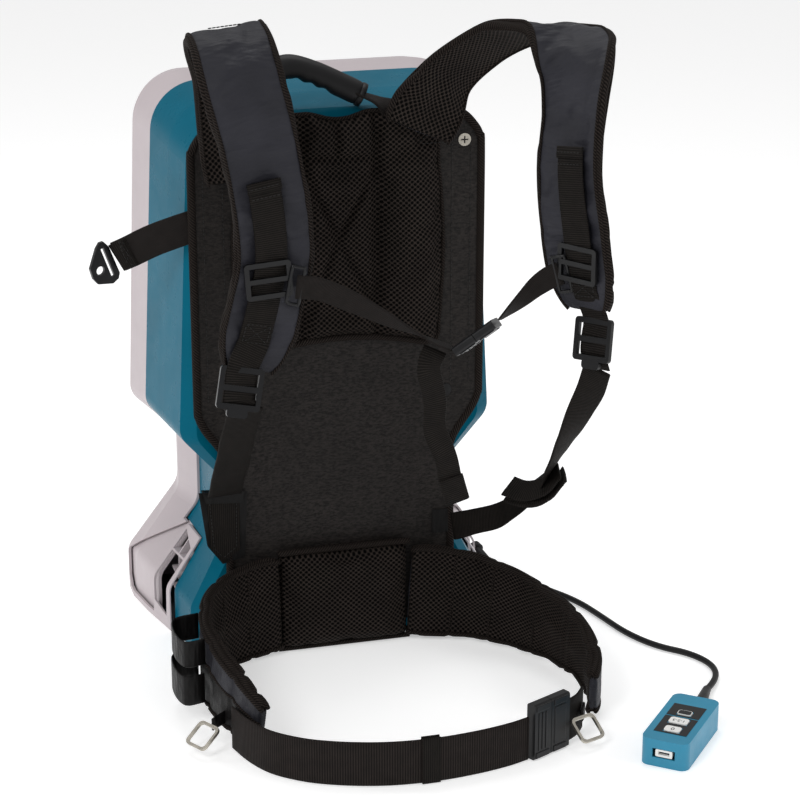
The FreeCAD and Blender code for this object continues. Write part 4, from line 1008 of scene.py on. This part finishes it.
def relief(name, spot, x, y, z, body, edge=0.8):
    """Raised block on a buckle, from three (low, high) pairs."""
    points = [spot(a, b, c) for c in z for b in y for a in x]
    faces = [(0, 2, 3, 1), (4, 5, 7, 6), (0, 1, 5, 4), (2, 6, 7, 3), (0, 4, 6, 2), (1, 3, 7, 5)]
    made = piece(name, points, faces, BLACK, body, smooth=True)
    modify(made, "BEVEL", width=edge * MM, segments=3, limit_method="ANGLE", harden_normals=True)


waist_spot = on_buckle(ahead(136, 321, 31), 0, 0, 26)
chest_spot = on_buckle(ahead(92, 207, 418), 75, -38, -20)
for label, spot, half, deep, plug in (("waist", waist_spot, 31, 6, "waist_plug"), ("chest", chest_spot, 17, 5, "chest_plug")):
    seat = SEAT if label == "waist" else CHEST
    for k, sign in enumerate((-1, 1)):
        z = sorted((sign * (half - 1.5), sign * (half - 8)))
        relief(f"{label}_arm_{k}", spot, (3, 21), (-deep - 1.0, -deep + 0.5), z, seat)
        relief(f"{label}_rail_{k}", spot, (-22, -3), (-deep - 0.9, -deep + 0.5), z, plug)
    relief(f"{label}_tongue", spot, (4, 20), (-deep - 0.8, -deep + 0.5), (-half + 10, half - 10), seat)
    for k in range(3):
        relief(f"{label}_rib_{k}", spot, (-19 + 5 * k, -17 + 5 * k), (-deep - 0.8, -deep + 0.5),
               (-half + 10, half - 10), plug, 0.5)

# ---- tool loops ----
LOOP_OUT = [(-182, 92), (-209, 100), (-215, 130), (-209, 160), (-188, 158)]
made = strap("tool_loop_upper", [ahead(x, d, 81) / MM for x, d in LOOP_OUT], [UP] * 5, 30, 1.8, BLACK_CLOTH)
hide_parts("tool_loops")
strap("tool_loop_lower", [ahead(x - 2, d + 4, 41) / MM for x, d in LOOP_OUT], [UP] * 5, 34, 1.8, BLACK_CLOTH)

# ---- hose strap ----
HOSE_STRAP = [(-158, -113, 497), (-176, -109, 491), (-200, -101, 481), (-221, -91.5, 469), (-234, -85, 462)]
HOSE_ACROSS = [(0, 0, 1), (-0.05, 0, 1), (-0.15, 0, 1), (-0.28, 0, 0.96), (-0.35, 0, 0.94)]
made = strap("hose_webbing", HOSE_STRAP, HOSE_ACROSS, 35, 2.2, CHEST_WEB)
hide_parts("hose_strap")
strap("hose_webbing_fold", [(-221, -93.4, 469), (-229, -90, 465), (-236, -86.5, 461)],
      [(-0.28, 0, 0.96), (-0.35, 0, 0.94), (-0.35, 0, 0.94)], 33, 2.0, WEB)
stitches("hose_stitching", sewn_box(at(-225, -93.8, 467), (0.9, 0.3, -0.35), (0.35, 0, -0.94), 12, 26))

# ---- carry handle ----
HANDLE = "carry_handle"
GRIP = [(-64, -90, 653), (-46, -91, 657), (-22, -95, 650), (4, -100, 638), (28, -105, 626)]
GRIP_R = 13.0
places = flow(GRIP, 2.0) * MM
sides = carried(places, (0, 1, 0))


def grip_section(i):
    """Round on top, with finger dimples along the underside and rounded ends."""
    share = i / (len(places) - 1)
    edge = min(share, 1 - share) * 50
    end = 1 - 0.35 * math.exp(-edge)
    dimple = max(groove(share - c, 0.055) for c in (0.3, 0.46, 0.62))
    ring = []
    for k in range(24):
        angle = 2 * math.pi * k / 24
        low = max(0.0, -math.sin(angle)) if places[-1][2] < places[0][2] else max(0.0, math.sin(angle))
        r = GRIP_R * MM * end * (1 - 0.2 * dimple * low ** 2)
        ring.append((r * math.cos(angle), r * math.sin(angle)))
    return ring


made = sweep("grip_sleeve", places, sides, grip_section, RUBBER, HANDLE)
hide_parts("carry_grip")
GRIP_LEFT = [(-82, -118, 593), (-80, -118, 609), (-77, -108, 632), (-71, -94, 648), (-60, -90, 653)]
GRIP_RIGHT = [(24, -104, 628), (44, -112, 620), (58, -117.5, 610), (67, -118, 594)]
made = strap("handle_webbing_left", GRIP_LEFT, [(1, 0, 0), (1, 0, 0), (0.7, 0.7, 0), (0.2, 0.98, 0), (0, 1, 0)],
             20, 2.4, CHEST_WEB, HANDLE)
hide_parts("carry_strap")
strap("handle_webbing_right", GRIP_RIGHT, [(0, 1, 0), (0.5, 0.86, 0), (0.98, 0.2, 0.1), (1, 0, 0)], 28, 2.8,
      CHEST_WEB, HANDLE)
lathe("grip_collar", at(25, -104.4, 627.4), at(31, -105.6, 624.4),
      [(0, 10.5), (0.08, 13.0), (0.5, 13.4), (0.92, 13.0), (1, 10.5)], RUBBER, HANDLE)

# ---- remote: label plates, key outlines and numerals ----
REMOTE_CORNER = Vector((219, -484, 0))
REMOTE_TURN = Matrix.Rotation(math.radians(-40.2), 3, "Z")
REMOTE_W, REMOTE_L, REMOTE_H = 50.5, 111.7, 30.0


def on_remote(x, y, z):
    return (REMOTE_CORNER + REMOTE_TURN @ Vector((x, y, z))) * MM


def key_outline(width, length, radius, count=6):
    """Rounded rectangle round the origin."""
    out = []
    for cx, cy, first in ((1, 1, 0), (-1, 1, 90), (-1, -1, 180), (1, -1, 270)):
        for k in range(count + 1):
            angle = math.radians(first + 90 * k / count)
            out.append((cx * (width / 2 - radius) + radius * math.cos(angle),
                        cy * (length / 2 - radius) + radius * math.sin(angle)))
    return out


def remote_plate(name, outline, centre, low, high, material, body=SEAT, hole=None):
    """Thin plate on the remote's top, or a frame where hole gives its inner outline."""
    count = len(outline)
    rings = [outline] if hole is None else [outline, hole]
    points = [on_remote(REMOTE_W / 2 + x, centre + y, z) for z in (low, high) for ring in rings for x, y in ring]
    faces = []
    for k in range(count):
        n = (k + 1) % count
        if hole is None:
            faces.append((k, n, count + n, count + k))
        else:
            lo, li, ho, hi = 0, count, 2 * count, 3 * count
            faces += [(lo + k, lo + n, ho + n, ho + k), (li + n, li + k, hi + k, hi + n),
                      (ho + k, ho + n, hi + n, hi + k), (li + k, li + n, lo + n, lo + k)]
    if hole is None:
        faces += [tuple(range(count, 2 * count)), tuple(reversed(range(count)))]
    return piece(name, points, faces, material, body, smooth=False)


KEYS = {"stop": (28.0, 17.0, 12.0), "speed": (48.0, 20.0, 13.0), "battery": (68.0, 15.0, 10.0)}


def numeral(name, text, place, size, body, material):
    """Figures printed on a key, raised by a hair."""
    words = bpy.data.curves.new(name, "FONT")
    words.body = text
    words.size = size * MM
    words.align_x, words.align_y = "CENTER", "CENTER"
    words.extrude = 0.00006
    made = bpy.data.objects.new(name + "_text", words)
    bpy.context.collection.objects.link(made)
    bpy.context.view_layer.update()
    mesh = bpy.data.meshes.new_from_object(made)
    mesh.name = name
    bpy.data.objects.remove(made)
    turn = REMOTE_TURN.to_4x4() @ Matrix.Rotation(math.pi, 4, "Z")
    mesh.transform(Matrix.Translation(on_remote(REMOTE_W / 2, place, REMOTE_H + 1.25)) @ turn)
    mesh.materials.clear()
    mesh.materials.append(material)
    printed = bpy.data.objects.new(name, mesh)
    bpy.context.collection.objects.link(printed)
    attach(printed, body)


def keyed_plate(name, low_y, high_y, keys):
    """Black label plate with a rounded hole for each key: strips round and between the holes."""
    half = 17.5
    z = (REMOTE_H + 0.02, REMOTE_H + 0.35)
    edges = [low_y] + sorted(e for key in keys for e in (KEYS[key][0] - KEYS[key][2] / 2 - 0.6,
                                                         KEYS[key][0] + KEYS[key][2] / 2 + 0.6)) + [high_y]
    points, faces = [], []

    def block(x0, x1, y0, y1):
        base = len(points)
        for level in z:
            for x, y in ((x0, y0), (x1, y0), (x1, y1), (x0, y1)):
                points.append(on_remote(REMOTE_W / 2 + x, y, level))
        faces.extend([(base + 4, base + 5, base + 6, base + 7), (base + 3, base + 2, base + 1, base)])
        faces.extend([(base + k, base + (k + 1) % 4, base + 4 + (k + 1) % 4, base + 4 + k) for k in range(4)])

    for k, (y0, y1) in enumerate(zip(edges, edges[1:])):
        if k % 2 == 0:
            block(-half, half, y0, y1)
        else:
            key = [q for q in keys if y0 < KEYS[q][0] < y1][0]
            gap = KEYS[key][1] / 2 + 0.6
            block(-half, -gap, y0, y1)
            block(gap, half, y0, y1)
    piece(name, points, faces, BLACK, smooth=False)


keyed_plate("label_plate_lower", 18.5, 57.5, ("stop", "speed"))
keyed_plate("label_plate_upper", 59.5, 87.0, ("battery",))
numeral("figure_zero", "0", KEYS["stop"][0], 8.0, "remote_button_stop", BLACK)
numeral("figures_speed", "1-2-3", KEYS["speed"][0], 6.4, "remote_button_speed", BLACK)
_, place_w, place_l = KEYS["battery"]
remote_plate("battery_key_face", key_outline(place_w - 1.6, place_l - 1.6, 2.2), KEYS["battery"][0],
             REMOTE_H + 1.22, REMOTE_H + 1.4, BLACK, "remote_button_battery")

# ---- floor ----
floor_look = Look("studio_floor", 0.9, Emission_Color=(1, 1, 1, 1), Emission_Strength=0.42)
flecks = floor_look.speckle(floor_look.place, 30.0)
floor_look.finish(floor_look.blend(flecks, (0.86, 0.86, 0.86, 1), (0.88, 0.88, 0.88, 1)))
floor = piece("floor", [(-30, -30, -0.0004), (30, -30, -0.0004), (30, 30, -0.0004), (-30, 30, -0.0004)], [(0, 1, 2, 3)],
              floor_look.material, body=None)

# ---- the cord's first route point, worked out and not kept ----
at(*CORD_ROUTE[0])
